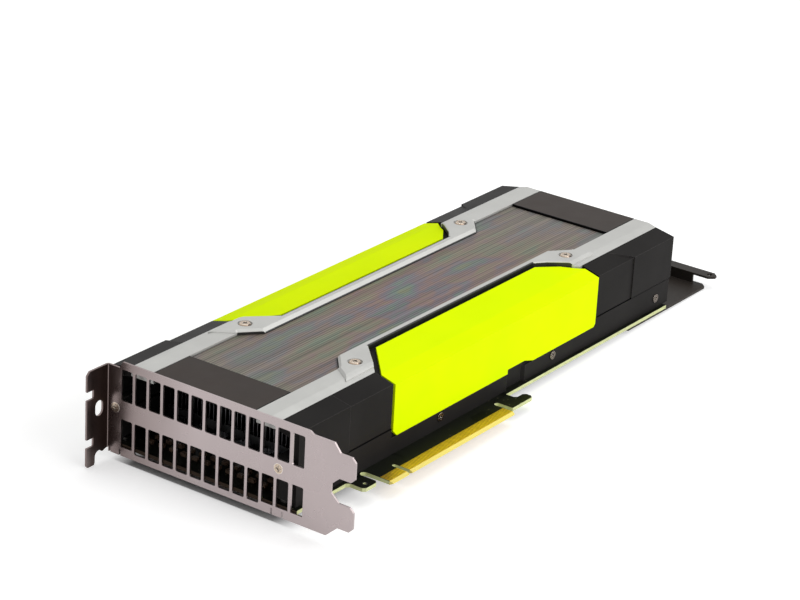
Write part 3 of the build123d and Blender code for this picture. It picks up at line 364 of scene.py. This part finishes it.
def painted(name, base, roughness, specular, soft_edge, seam=False, rim=False):
    """A satin or powder coat: fine grain, paler edges from wear and a painted highlight, painted black shade
    in seams and gaps.
    """
    g = Graph(name)
    low, high = tones(base, 0.12)
    tone = g.ramp(g.noise(35.0, 4.0), [(0.35, low), (0.65, high)])
    # Paler sharp edges: edge wear together with a painted highlight.
    tone = g.mix(g.math("MULTIPLY", g.edge(soft_edge), 0.5), tone, tuple(c * 5 + 0.02 for c in base[:3]))
    # Painted shade: a black line along the seam between cover and frame.
    if seam:
        line = at(0, 0, SEAM_HEIGHT).z
        gap = g.between(g.axis(g.place, "Z"), line - SEAM_SHADE_HALF * MM, line + SEAM_SHADE_HALF * MM)
        tone = g.mix(gap, tone, GAP_SHADE_BLACK)
    # Painted shade: a black line in the thin gap round the end panels.
    if rim:
        tone = g.mix(panel_rim_shade(g), tone, GAP_SHADE_BLACK)
    g.bump(g.noise(1800.0, 2.0), 0.25, 0.03 * MM, soft_edge)
    return g.set(Base_Color=tone, Specular_IOR_Level=specular,
                 Roughness=g.spread(g.noise(120.0, 3.0), roughness - 0.05, roughness + 0.05))


def metal(name, base, roughness, brush=None, shade_reach=0.0):
    """A plain metal, brushed where a stretch is given and darkened by painted shade deep between its parts.
    """
    g = Graph(name)
    low, high = tones(base, 0.06)
    vector = g.stretched(brush) if brush else None
    grain = g.noise(60.0 if brush else 90.0, 5.0, 0.6, vector)
    g.bump(grain, 0.12, 0.04 * MM)
    tone = g.ramp(grain, [(0.3, low), (0.7, high)])
    # Painted shade: darker deep between the parts.
    if shade_reach:
        tone = g.mix(g.sheltered(shade_reach), tuple(c * 0.12 for c in base), tone)
    return g.set(Base_Color=tone, Metallic=1.0,
                 Roughness=g.spread(grain, roughness - 0.05, roughness + 0.06))


def moulded(name, base, roughness, spread=0.08):
    """A moulded plastic with a fine spark grain."""
    g = Graph(name)
    low, high = tones(base, spread)
    g.bump(g.noise(2600.0, 2.0), 0.2, 0.02 * MM)
    return g.set(Base_Color=g.ramp(g.noise(50.0, 3.0), [(0.35, low), (0.65, high)]),
                 Roughness=g.spread(g.noise(300.0, 2.0), roughness - 0.05, roughness + 0.05))


def nickel_plate(colours, sizes):
    """Bright nickel, with painted reflections: browner toward the flange, dark on the flange's faces."""
    g = Graph("nickel_plate")
    low, high = tones(colours.plate, 0.05)
    wave = g.noise(14.0, 3.0)
    tone = g.ramp(wave, [(0.3, low), (0.7, high)])
    face = g.math("ABSOLUTE", g.normal("X"))
    # Painted reflection: the plate turns browner and darker toward the flange.
    clear, full = (at(0, reach, 0).y for reach in PLATE_REFLECTION_RUN)
    along_plate = g.between_points(g.axis(g.place, "Y"), clear, full)
    reflection_cloud = g.math("ADD", along_plate, g.spread(g.noise(30.0, 4.0), -0.22, 0.22))
    tone = g.mix(g.math("MULTIPLY", reflection_cloud, 0.75), tone, (0.16, 0.115, 0.105))
    # Painted reflection: the flange's faces are dark near the plate and lighter toward their edge.
    flange = g.math("GREATER_THAN", g.math("ABSOLUTE", g.normal("Y")), 0.7)
    x = g.axis(g.place, "X")
    ahead = g.math("LESS_THAN", x, at(FLANGE_START, 0, 0).x)
    reflection_sweep = g.between_points(x, at(FLANGE_REFLECTION_SWEEP[0], 0, 0).x, at(FLANGE_REFLECTION_SWEEP[1], 0, 0).x)
    dark = g.ramp(reflection_sweep, [(0.0, (0.035, 0.022, 0.018)), (0.7, (0.075, 0.055, 0.05)),
                          (1.0, (0.20, 0.165, 0.16))])
    shade = g.mix(g.math("MULTIPLY", flange, ahead), tone, dark)
    g.bump(g.noise(700.0, 2.0), 0.08, 0.02 * MM, sizes.soft_edge * 0.5)
    return g.set(Base_Color=shade, Metallic=1.0,
                 Roughness=g.spread(g.math("ADD", g.noise(90.0), g.math("SUBTRACT", 1.0, face)), 0.20, 0.36))


def brushed_window(colours, sizes):
    """A sheet brushed along the card: painted sheen of faint colours split by its grooves, painted shade at
    its edges.
    """
    g = Graph("brushed_sheet")
    fine = g.noise(1.0, 6.0, 0.7, g.stretched((5.0, 1700.0, 1700.0)))
    groove = g.lines(250.0, "Y", 0.6)
    lines = g.math("ADD", g.math("MULTIPLY", fine, 0.86), g.math("MULTIPLY", groove, 0.14))
    low, high = tones(colours.window, 0.60)
    grey = g.ramp(lines, [(0.36, low), (0.64, high)])
    # Painted sheen: faint colours that the fine grooves split from the light.
    band = g.noise(1.0, 3.0, 0.6, g.stretched((30.0, 78.0, 78.0)))
    tint = g.ramp(band, [(0.32, (0.30, 0.52, 0.34)), (0.42, (0.58, 0.44, 0.26)), (0.50, (0.66, 0.30, 0.34)),
                         (0.56, (0.40, 0.30, 0.56)), (0.63, (0.26, 0.48, 0.50)), (0.70, (0.46, 0.54, 0.30))])
    patch = g.spread(g.noise(1.0, 2.0, 0.5, g.stretched((9.0, 30.0, 30.0))), 0.2, 1.0)
    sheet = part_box("fin_top_sheet")
    middle = (sheet[0].x + sheet[1].x) / 2
    inward = g.between_points(g.math("ABSOLUTE", g.math("SUBTRACT", g.axis(g.place, "X"), middle)),
                              sheet[1].x - middle, 0.0)
    patch = g.math("MULTIPLY", patch, g.spread(inward, 0.4, 1.15))
    rainbow = g.mix(1.0, grey, g.mix(1.0, tint, (2.3, 2.3, 2.3), "MULTIPLY"), "MULTIPLY")
    # Painted shade: the sheet turns black where it meets the rails and panels.
    brushed = g.mix(g.sheltered(1.3 * MM, 4.0), SHADE_BLACK, g.mix(patch, grey, rainbow))
    g.bump(lines, 0.2, 0.03 * MM)
    return g.set(Base_Color=brushed, Metallic=0.75, Roughness=g.spread(fine, 0.32, 0.50))


def silver_rail(colours, sizes):
    """Matte silver on the faces; painted black shade on the cut sides, by the accents and at the foot of the
    bevels.
    """
    g = Graph("rail_silver")
    low, high = tones(colours.rail, 0.04)
    tone = g.ramp(g.noise(70.0, 4.0), [(0.35, low), (0.65, high)])
    z = g.axis(g.place, "Z")
    middle = (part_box("rail_right")[0].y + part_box("rail_left")[1].y) / 2
    across = g.math("SUBTRACT", g.axis(g.place, "Y"), middle)
    off = g.math("ABSOLUTE", across)
    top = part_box("rail_right")[1].z
    # Painted shade: the side walls of the pads turn black below their top.
    upright = g.math("LESS_THAN", g.math("ABSOLUTE", g.normal("Z")), 0.2)
    facing_in = g.math("LESS_THAN", g.math("MULTIPLY", across, g.normal("Y")), 0.0)
    black_from = g.spread(facing_in, top - OUTER_WALL_DROP * MM, top - INNER_WALL_DROP * MM)
    below = g.math("LESS_THAN", z, black_from)
    inside = g.math("LESS_THAN", off, PAD_OUTER * MM)
    wall_shade = g.math("MULTIPLY", g.math("MULTIPLY", upright, below),
                  g.math("MULTIPLY", along(g, PAD_RUN), inside))
    # Painted shade: black lines along the strips by the accents and at the foot of the bevels.
    outer = g.math("MULTIPLY", along(g, STRIP_RUN),
                   g.math("GREATER_THAN", off, (STRIP_OUTER - STRIP_SHADE) * MM))
    foot = g.math("LESS_THAN", z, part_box("fin_top_sheet")[1].z + BEVEL_SHADE * MM)
    bevel = g.math("MULTIPLY", along(g, BEVEL_RUN), g.math("LESS_THAN", off, BEVEL_OUTER * MM))
    line = g.math("MAXIMUM", outer, g.math("MULTIPLY", foot, bevel))
    # The walls take the cover's black as painted shade, the lines a deeper black.
    tone = g.mix(line, g.mix(wall_shade, tone, colours.shell[:3]), LINE_SHADE_BLACK)
    dark = g.math("MAXIMUM", wall_shade, line)
    g.bump(g.noise(1500.0, 2.0), 0.15, 0.02 * MM, sizes.soft_edge * 0.6)
    return g.set(Base_Color=tone, Metallic=g.spread(dark, 0.45, 0.0),
                 Roughness=g.spread(g.noise(140.0), 0.40, 0.52))


def lime_accent(colours, sizes):
    """Glossless yellow-green moulding."""
    g = Graph("accent_lime")
    low, high = tones(colours.accent, 0.03)
    g.bump(g.noise(1800.0, 2.0), 0.12, 0.02 * MM, sizes.soft_edge)
    return g.set(Base_Color=g.ramp(g.noise(30.0, 3.0), [(0.35, low), (0.65, high)]), Specular_IOR_Level=0.02,
                 Roughness=g.spread(g.noise(200.0), 0.55, 0.65))


def solder_mask(colours, sizes):
    """Dark mask, faint tracks on both faces, pale laminate on cut edges with painted shade at the front, gilt
    tip bevel.
    """
    g = Graph("board_mask")
    low, high = tones(colours.board, 0.25)
    cells = g.add("TexVoronoi", feature="F1", distance="CHEBYCHEV")
    cells.inputs["Scale"].default_value = 85.0
    g.join(g.place, cells.inputs["Vector"])
    share = g.add("SeparateColor")
    g.join(cells.outputs["Color"], share.inputs["Color"])
    runs = [g.math("GREATER_THAN", g.lines(400.0, direction), 0.62) for direction in "XY"]
    turned = g.math("GREATER_THAN", share.outputs["Red"], 0.5)
    track = g.math("MULTIPLY", g.math("GREATER_THAN", share.outputs["Green"], 0.3),
                   g.mix(turned, runs[0], runs[1]))
    holes = g.add("TexVoronoi", feature="F1")
    holes.inputs["Scale"].default_value = 330.0
    g.join(g.place, holes.inputs["Vector"])
    via = g.math("MULTIPLY", g.math("LESS_THAN", holes.outputs["Distance"], 0.09),
                 g.math("LESS_THAN", share.outputs["Green"], 0.6))
    mask = g.mix(track, low, tuple(c * 2.4 for c in high))
    mask = g.mix(via, mask, (0.10, 0.09, 0.06))
    rim = g.math("LESS_THAN", g.math("ABSOLUTE", g.normal("Z")), 0.3)
    weave = g.ramp(g.noise(1.0, 3.0, 0.6, g.stretched((400.0, 400.0, 2600.0))),
                   [(0.35, tuple(c * 0.72 for c in colours.board_edge[:3])), (0.65, colours.board_edge[:3])])
    # Painted shade: the board's front edge, close behind the bracket, is dark.
    ahead = g.math("LESS_THAN", g.axis(g.place, "X"), BOARD_LOW.x + BOARD_FRONT_SHADE * MM)
    weave = g.mix(ahead, weave, (0.05, 0.035, 0.025))
    steep = g.math("LESS_THAN", g.math("ABSOLUTE", g.normal("Z")), 0.97)
    tip = g.math("LESS_THAN", g.axis(g.place, "Y"), BOARD_LOW.y + TIP_BEVEL * MM)
    g.bump(track, 0.2, 0.02 * MM)
    faces = g.mix(rim, mask, weave)
    return g.set(Base_Color=g.mix(g.math("MULTIPLY", steep, tip), faces, (0.86, 0.72, 0.20)),
                 Specular_IOR_Level=0.05, Roughness=g.spread(rim, 0.42, 0.75))


def gold_contact(colours, sizes):
    """Gold with faint wear in the direction of insertion."""
    g = Graph("gold_contact")
    low, high = tones(colours.gold, 0.08)
    wear = g.noise(1.0, 4.0, 0.6, g.stretched((900.0, 60.0, 900.0)))
    g.bump(wear, 0.02, 0.005 * MM)
    return g.set(Base_Color=g.ramp(wear, [(0.3, low), (0.7, high)]), Metallic=0.9,
                 Roughness=g.spread(wear, 0.30, 0.42))


def screw_metal(colours, sizes):
    """Pale passivated steel: painted rim highlights, painted shade in the recess and on faces turned across
    the card.
    """
    g = Graph("screw_metal")
    low, high = tones(colours.screw, 0.08)
    tone = g.ramp(g.noise(500.0, 3.0), [(0.3, low), (0.7, high)])
    # Painted shade in the recess.
    tone = g.mix(g.sheltered(0.8 * MM), (0.02, 0.012, 0.01), tone)
    # Painted shade on the faces turned across the card.
    sideways = g.math("GREATER_THAN", g.math("ABSOLUTE", g.normal("Y")), 0.7)
    tone = g.mix(g.math("MULTIPLY", sideways, 0.9), tone, (0.05, 0.035, 0.03))
    # Painted highlight along the rims.
    rim = g.math("MULTIPLY", g.edge(0.25 * MM), g.spread(sideways, 1.0, 0.45))
    tone = g.mix(rim, tone, (0.88, 0.82, 0.74))
    g.bump(g.noise(1400.0, 2.0), 0.1, 0.02 * MM, sizes.soft_edge * 0.4)
    return g.set(Base_Color=tone, Metallic=1.0, Roughness=g.spread(g.noise(600.0), 0.18, 0.30))


def finishes(colours, sizes):
    """Every finish by its slot in the record."""
    soft = sizes.soft_edge
    return {
        "nickel_plate": nickel_plate(colours, sizes),
        "screw_metal": screw_metal(colours, sizes),
        "dark_screw": metal("dark_screw", (0.20, 0.19, 0.18), 0.36),
        "board_mask": solder_mask(colours, sizes),
        "gold_contact": gold_contact(colours, sizes),
        "package_board": moulded("package_board", (0.03, 0.11, 0.05), 0.45),
        "die_glass": moulded("die_glass", (0.09, 0.09, 0.11), 0.15, 0.03),
        "stiffener_metal": metal("stiffener_metal", (0.55, 0.55, 0.55), 0.34),
        "chip_plastic": moulded("chip_plastic", (0.025, 0.025, 0.028), 0.55),
        "pad_rubber": moulded("pad_rubber", (0.46, 0.48, 0.53), 0.75),
        "coil_block": moulded("coil_block", (0.075, 0.075, 0.08), 0.55, 0.2),
        "can_metal": metal("can_metal", (0.66, 0.66, 0.68), 0.22),
        "ceramic_chip": moulded("ceramic_chip", (0.09, 0.055, 0.035), 0.45),
        "socket_plastic": moulded("socket_plastic", (0.018, 0.018, 0.018), 0.48),
        "pin_metal": metal("pin_metal", (0.72, 0.62, 0.36), 0.25),
        "frame_metal": painted("frame_metal", colours.shell, 0.42, 0.02, soft, seam=True),
        "sink_metal": metal("sink_metal", (0.24, 0.24, 0.25), 0.38, brush=(0.05, 1.0, 1.0), shade_reach=9.0 * MM),
        "brushed_sheet": brushed_window(colours, sizes),
        "cover_black": painted("cover_black", colours.shell, 0.38, 0.02, soft, seam=True),
        "rail_silver": silver_rail(colours, sizes),
        "panel_dark": painted("panel_dark", colours.panel, 0.40, 0.12, soft, rim=True),
        "accent_lime": lime_accent(colours, sizes),
        "brace_metal": metal("brace_metal", (0.42, 0.42, 0.42), 0.36),
        "extender_metal": painted("extender_metal", colours.extender, 0.45, 0.12, soft),
    }


def finish_named(slot):
    """The finish for a slot, made once."""
    if finish_name(slot) not in bpy.data.materials:
        settings = bpy.context.scene
        finishes(settings.card_colours, settings.card_sizes)
    return bpy.data.materials[finish_name(slot)]


def dress(*names):
    """Gives CAD nodes the finish of their slot in the record."""
    slots = {row["node"]: row["material_slot"] for row in frame["record"]["subparts"]}
    for name in names:
        mesh = NODES[name].data
        mesh.materials.clear()
        mesh.materials.append(finish_named(slots[name]))


def add_piece(name, mesh, slot):
    """Turns a bmesh into a named piece that rides with the card."""
    bmesh.ops.recalc_face_normals(mesh, faces=mesh.faces)
    data = bpy.data.meshes.new(name)
    mesh.to_mesh(data)
    mesh.free()
    data.materials.append(finish_named(slot))
    piece = bpy.data.objects.new(name, data)
    bpy.context.scene.collection.objects.link(piece)
    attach(piece, "root")
    return piece


def add_block(mesh, centre, size, bevel=0.0):
    """One box of the given size, its edges bevelled."""
    made = bmesh.ops.create_cube(mesh, size=1.0,
                                 matrix=Matrix.Translation(centre) @ Matrix.Diagonal((*size, 1.0)))
    if bevel:
        edges = {e for v in made["verts"] for e in v.link_edges}
        bmesh.ops.bevel(mesh, geom=list(edges), offset=bevel, segments=1, profile=0.5, affect="EDGES",
                        material=-1)


def add_ring(mesh, centre, inner, outer, height, sides=24):
    """A flat plated ring: a disc with its middle inset and removed, given a thickness."""
    made = bmesh.ops.create_circle(mesh, cap_ends=True, radius=outer, segments=sides,
                                   matrix=Matrix.Translation(centre))
    disc = made["verts"][0].link_faces[0]
    ring = bmesh.ops.inset_region(mesh, faces=[disc], use_boundary=True, use_even_offset=True,
                                  thickness=outer - inner)["faces"]
    bmesh.ops.delete(mesh, geom=[disc], context="FACES")
    raised = bmesh.ops.extrude_face_region(mesh, geom=ring)
    verts = [v for v in raised["geom"] if isinstance(v, bmesh.types.BMVert)]
    bmesh.ops.translate(mesh, verts=verts, vec=(0, 0, height))


# Middle and radius of the hole in the board's front tab, in millimetres from the card's zero
TAB_HOLE = (36.5, -98.6)
TAB_HOLE_RADIUS = 0.72
# Grids of small parts on the solder side: first place and pitch in millimetres, columns and rows
CHIP_GRIDS = (
    ((143.5, -51.7), (2.6, 2.2), (6, 6)),
    ((224.0, -68.2), (4.0, 6.6), (2, 8)),
    ((52.0, -88.0), (8.0, 2.6), (9, 2)),
)
CAN_JOINTS = ((18.9, -62.7), (3.2, 11.0), (2, 5))
# The socket's pins: columns across the card, and the rows' places along it in millimetres
SOCKET_COLUMNS = 4
SOCKET_ROWS = (0.0, 5.0)
# A capacitor's metal ends: their share of its length, how much they stand over its body, and their bevel
CAP_SHARE = 0.2
CAP_SWELL = 1.04
CAP_BEVEL = 0.12
# A joint's narrow end as a share of its radius
JOINT_TIP = 0.3


def grid_spots(start, pitch, counts):
    """Places of a grid on the card, row by row."""
    return [at(start[0] + pitch[0] * column, start[1] + pitch[1] * row, 0)
            for row in range(counts[1]) for column in range(counts[0])]


class CARD_OT_bracket(bpy.types.Operator):
    """Nickel bracket and the screws that hold it"""

    bl_idname = "card.bracket"
    bl_label = "Bracket"

    def execute(self, context):
        dress("io_bracket", "bracket_screws", "tab_screws")
        return {"FINISHED"}


class CARD_OT_board(bpy.types.Operator):
    """Circuit board, its contacts and the parts on its upper face"""

    bl_idname = "card.board"
    bl_label = "Board and parts"

    def execute(self, context):
        dress("circuit_board", "edge_contacts", "processor_package", "processor_die", "package_stiffener",
              "memory_chips", "thermal_pads", "power_coils", "power_stages", "can_capacitors",
              "small_capacitors", "controller_chip", "power_socket", "socket_pins")
        return {"FINISHED"}


class CARD_OT_cooler(bpy.types.Operator):
    """Frame, heatsink, cover, panels and the brushed window"""

    bl_idname = "card.cooler"
    bl_label = "Cooler"

    def execute(self, context):
        dress("base_frame", "heatsink_base", "heatsink_fins", "fin_top_sheet", "cover",
              "front_panel", "rear_panel")
        return {"FINISHED"}


class CARD_OT_trim(bpy.types.Operator):
    """Silver rails, bright accents, and the screws of the rails and the sides"""

    bl_idname = "card.trim"
    bl_label = "Rails and accents"

    def execute(self, context):
        dress("rail_right", "rail_left", "accent_right", "accent_left", "rail_screws", "side_screws")
        return {"FINISHED"}


class CARD_OT_underside(bpy.types.Operator):
    """Brace, extender and the screws from the solder side"""

    bl_idname = "card.underside"
    bl_label = "Brace and extender"

    def execute(self, context):
        dress("back_brace", "brace_screws", "frame_screws", "rear_extender", "extender_screws")
        return {"FINISHED"}


class CARD_OT_lands(bpy.types.Operator):
    """Plated rings round the hole in the board's front tab, on both faces"""

    bl_idname = "card.lands"
    bl_label = "Plated lands"

    def execute(self, context):
        sizes = context.scene.card_sizes
        mesh = bmesh.new()
        centre = at(*TAB_HOLE, 0)
        inner = TAB_HOLE_RADIUS * MM
        for height in (BOARD_LOW.z - sizes.land_rise, BOARD_HIGH.z):
            add_ring(mesh, Vector((centre.x, centre.y, height)), inner, inner + sizes.land_width,
                     sizes.land_rise)
        add_piece("plated_lands", mesh, "can_metal")
        return {"FINISHED"}


class CARD_OT_back_chips(bpy.types.Operator):
    """Small capacitors on the solder side: under the processor, ahead of the extender and by the contacts"""

    bl_idname = "card.back_chips"
    bl_label = "Solder-side capacitors"

    def execute(self, context):
        sizes = context.scene.card_sizes
        body, caps = bmesh.new(), bmesh.new()
        cap = sizes.chip_length * CAP_SHARE
        cap_size = (cap, sizes.chip_width * CAP_SWELL, sizes.chip_height * CAP_SWELL)
        for centre in (spot for grid in CHIP_GRIDS for spot in grid_spots(*grid)):
            middle = Vector((centre.x, centre.y, BOARD_LOW.z - sizes.chip_height / 2))
            add_block(body, middle, (sizes.chip_length - 2 * cap, sizes.chip_width, sizes.chip_height))
            for side in (-1, 1):
                add_block(caps, middle + Vector((side * (sizes.chip_length - cap) / 2, 0, 0)), cap_size,
                          sizes.chip_height * CAP_BEVEL)
        add_piece("solder_side_capacitors", body, "ceramic_chip")
        add_piece("capacitor_ends", caps, "can_metal")
        return {"FINISHED"}


class CARD_OT_joints(bpy.types.Operator):
    """Solder joints of the can capacitors and of the power socket's pins"""

    bl_idname = "card.joints"
    bl_label = "Solder joints"

    def execute(self, context):
        sizes = context.scene.card_sizes
        mesh = bmesh.new()
        spots = grid_spots(*CAN_JOINTS)
        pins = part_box("socket_pins")
        for column in range(SOCKET_COLUMNS):
            across = pins[0].y + (pins[1].y - pins[0].y) * (column + 0.5) / SOCKET_COLUMNS
            spots += [Vector((pins[0].x + step * MM, across, 0)) for step in SOCKET_ROWS]
        for centre in spots:
            place = (centre.x, centre.y, BOARD_LOW.z - sizes.joint_radius / 2)
            bmesh.ops.create_cone(mesh, cap_ends=True, segments=16, radius1=sizes.joint_radius * JOINT_TIP,
                                  radius2=sizes.joint_radius, depth=sizes.joint_radius,
                                  matrix=Matrix.Translation(place))
        add_piece("solder_joints", mesh, "can_metal")
        return {"FINISHED"}


class CARD_OT_stage(bpy.types.Operator):
    """Pale floor, studio lamps and the camera"""

    bl_idname = "card.stage"
    bl_label = "Stage"

    def execute(self, context):
        stage = context.scene.card_stage
        self.floor(context)
        self.world(context, stage)
        for name, (place, size, setting) in SOFTBOXES.items():
            self.lamp(context, name, Vector(place), size, getattr(stage, setting))
        self.camera(context, stage)
        context.scene.view_settings.view_transform = "Standard"
        return {"FINISHED"}

    def floor(self, context):
        """A floor through the bracket's foot and the extender's screws, paler away from the card."""
        mesh = bmesh.new()
        bmesh.ops.create_grid(mesh, x_segments=1, y_segments=1, size=FLOOR_REACH)
        data = bpy.data.meshes.new("floor")
        mesh.to_mesh(data)
        mesh.free()
        floor = bpy.data.objects.new("floor", data)
        context.scene.collection.objects.link(floor)
        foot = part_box("io_bracket")[0]
        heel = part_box("extender_screws")
        run = heel[1].x - foot.x
        floor.rotation_euler = (0, -math.atan2(heel[0].z - foot.z, run), 0)
        floor.location = (0, 0, foot.z - (heel[0].z - foot.z) * foot.x / run - FLOOR_GAP * MM)
        g = Graph("floor_paper")
        paths = g.add("LightPath")
        seen = g.math("MAXIMUM", paths.outputs["Is Camera Ray"],
                      g.math("MAXIMUM", paths.outputs["Is Glossy Ray"], paths.outputs["Is Transmission Ray"]))
        away = g.add("VectorMath", operation="LENGTH")
        g.join(g.place, away.inputs[0])
        fade = g.add("MapRange", interpolation_type="SMOOTHSTEP")
        for socket, value in zip(("From Min", "From Max", "To Min", "To Max"), (*FADE_RUN, *FADE_GLOW)):
            fade.inputs[socket].default_value = value
        g.join(away.outputs["Value"], fade.inputs["Value"])
        g.set(Base_Color=(0.80, 0.80, 0.80, 1.0), Roughness=0.9, Specular_IOR_Level=0.0)
        g.shader.inputs["Emission Color"].default_value = (1, 1, 1, 1)
        glow = g.math("MULTIPLY", fade.outputs["Result"], g.math("SUBTRACT", 1.0, self.covered(g)))
        g.join(g.math("MULTIPLY", seen, glow), g.shader.inputs["Emission Strength"])
        data.materials.append(g.material)

    def covered(self, g):
        """1 on the floor under the card and 0 outside it, softly along its long sides."""
        frame_low, frame_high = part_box("base_frame")
        x, y = g.axis(g.place, "X"), g.axis(g.place, "Y")
        inside = g.between(x, at(COVERED_START, 0, 0).x, frame_high.x)
        for start, step in ((frame_low.y, COVERED_EDGE), (frame_high.y, -COVERED_EDGE)):
            inside = g.math("MULTIPLY", inside, g.between_points(y, start, start + step * MM))
        return inside

    def world(self, context, stage):
        """Even surroundings, white to the camera and in reflections."""
        world = bpy.data.worlds.new("studio")
        world.use_nodes = True
        context.scene.world = world
        nodes, links = world.node_tree.nodes, world.node_tree.links
        sky = nodes["Background"]
        sky.inputs["Color"].default_value = (1, 1, 1, 1)
        paths = nodes.new("ShaderNodeLightPath")
        pick = nodes.new("ShaderNodeMapRange")
        pick.inputs["To Min"].default_value = stage.world_strength
        pick.inputs["To Max"].default_value = 1.0
        seen = [nodes.new("ShaderNodeMath") for _ in range(2)]
        for joint in seen:
            joint.operation = "MAXIMUM"
        links.new(paths.outputs["Is Camera Ray"], seen[0].inputs[0])
        links.new(paths.outputs["Is Glossy Ray"], seen[0].inputs[1])
        links.new(seen[0].outputs["Value"], seen[1].inputs[0])
        links.new(paths.outputs["Is Transmission Ray"], seen[1].inputs[1])
        links.new(seen[1].outputs["Value"], pick.inputs["Value"])
        links.new(pick.outputs["Result"], sky.inputs["Strength"])

    def lamp(self, context, name, place, size, watts):
        """A softbox turned toward the middle of the scene."""
        data = bpy.data.lights.new(name, "AREA")
        data.shape = "RECTANGLE"
        data.size, data.size_y = size
        data.energy = watts
        lamp = bpy.data.objects.new(name, data)
        context.scene.collection.objects.link(lamp)
        lamp.location = place
        lamp.rotation_euler = (-place).to_track_quat("-Z", "Y").to_euler()

    def camera(self, context, stage):
        """The photograph's camera, set by a point of the card, two angles, a roll and a distance."""
        turn, height, roll = stage.turn, stage.height, stage.roll
        back = Vector((math.cos(turn) * math.cos(height), math.sin(turn) * math.cos(height),
                       math.sin(height)))
        level = Vector((-math.sin(turn), math.cos(turn), 0))
        steep = back.cross(level)
        right = level * math.cos(roll) + steep * math.sin(roll)
        up = steep * math.cos(roll) - level * math.sin(roll)
        data = bpy.data.cameras.new("camera")
        data.lens = stage.lens
        data.clip_end = 100
        camera = bpy.data.objects.new("camera", data)
        context.scene.collection.objects.link(camera)
        place = at(*CAMERA_POINT) + right * stage.across + up * stage.above + back * stage.distance
        camera.matrix_world = Matrix.Translation(place) @ Matrix((right, up, back)).transposed().to_4x4()
        context.scene.camera = camera


class CARD_PT_panel(bpy.types.Panel):
    """The card's pieces and stage"""

    bl_idname = "CARD_PT_panel"
    bl_label = "Accelerator Card"
    bl_space_type = "VIEW_3D"
    bl_region_type = "UI"
    bl_category = "Card"

    def draw(self, context):
        for group in (context.scene.card_colours, context.scene.card_sizes, context.scene.card_stage):
            column = self.layout.column()
            for key in group.__annotations__:
                column.prop(group, key)
        for step in STEPS:
            self.layout.operator(step.bl_idname)


STEPS = (CARD_OT_bracket, CARD_OT_board, CARD_OT_cooler, CARD_OT_trim, CARD_OT_underside, CARD_OT_lands,
         CARD_OT_back_chips, CARD_OT_joints, CARD_OT_stage)
GROUPS = (CardColours, CardSizes, StageSettings)


def register():
    for item in (*GROUPS, *STEPS, CARD_PT_panel):
        bpy.utils.register_class(item)
    bpy.types.Scene.card_colours = bpy.props.PointerProperty(type=CardColours)
    bpy.types.Scene.card_sizes = bpy.props.PointerProperty(type=CardSizes)
    bpy.types.Scene.card_stage = bpy.props.PointerProperty(type=StageSettings)


def unregister():
    for key in ("card_colours", "card_sizes", "card_stage"):
        delattr(bpy.types.Scene, key)
    for item in reversed((*GROUPS, *STEPS, CARD_PT_panel)):
        bpy.utils.unregister_class(item)


def main():
    register()
    for step in STEPS:
        group, name = step.bl_idname.split(".")
        getattr(getattr(bpy.ops, group), name)()


if __name__ == "__main__":
    main()
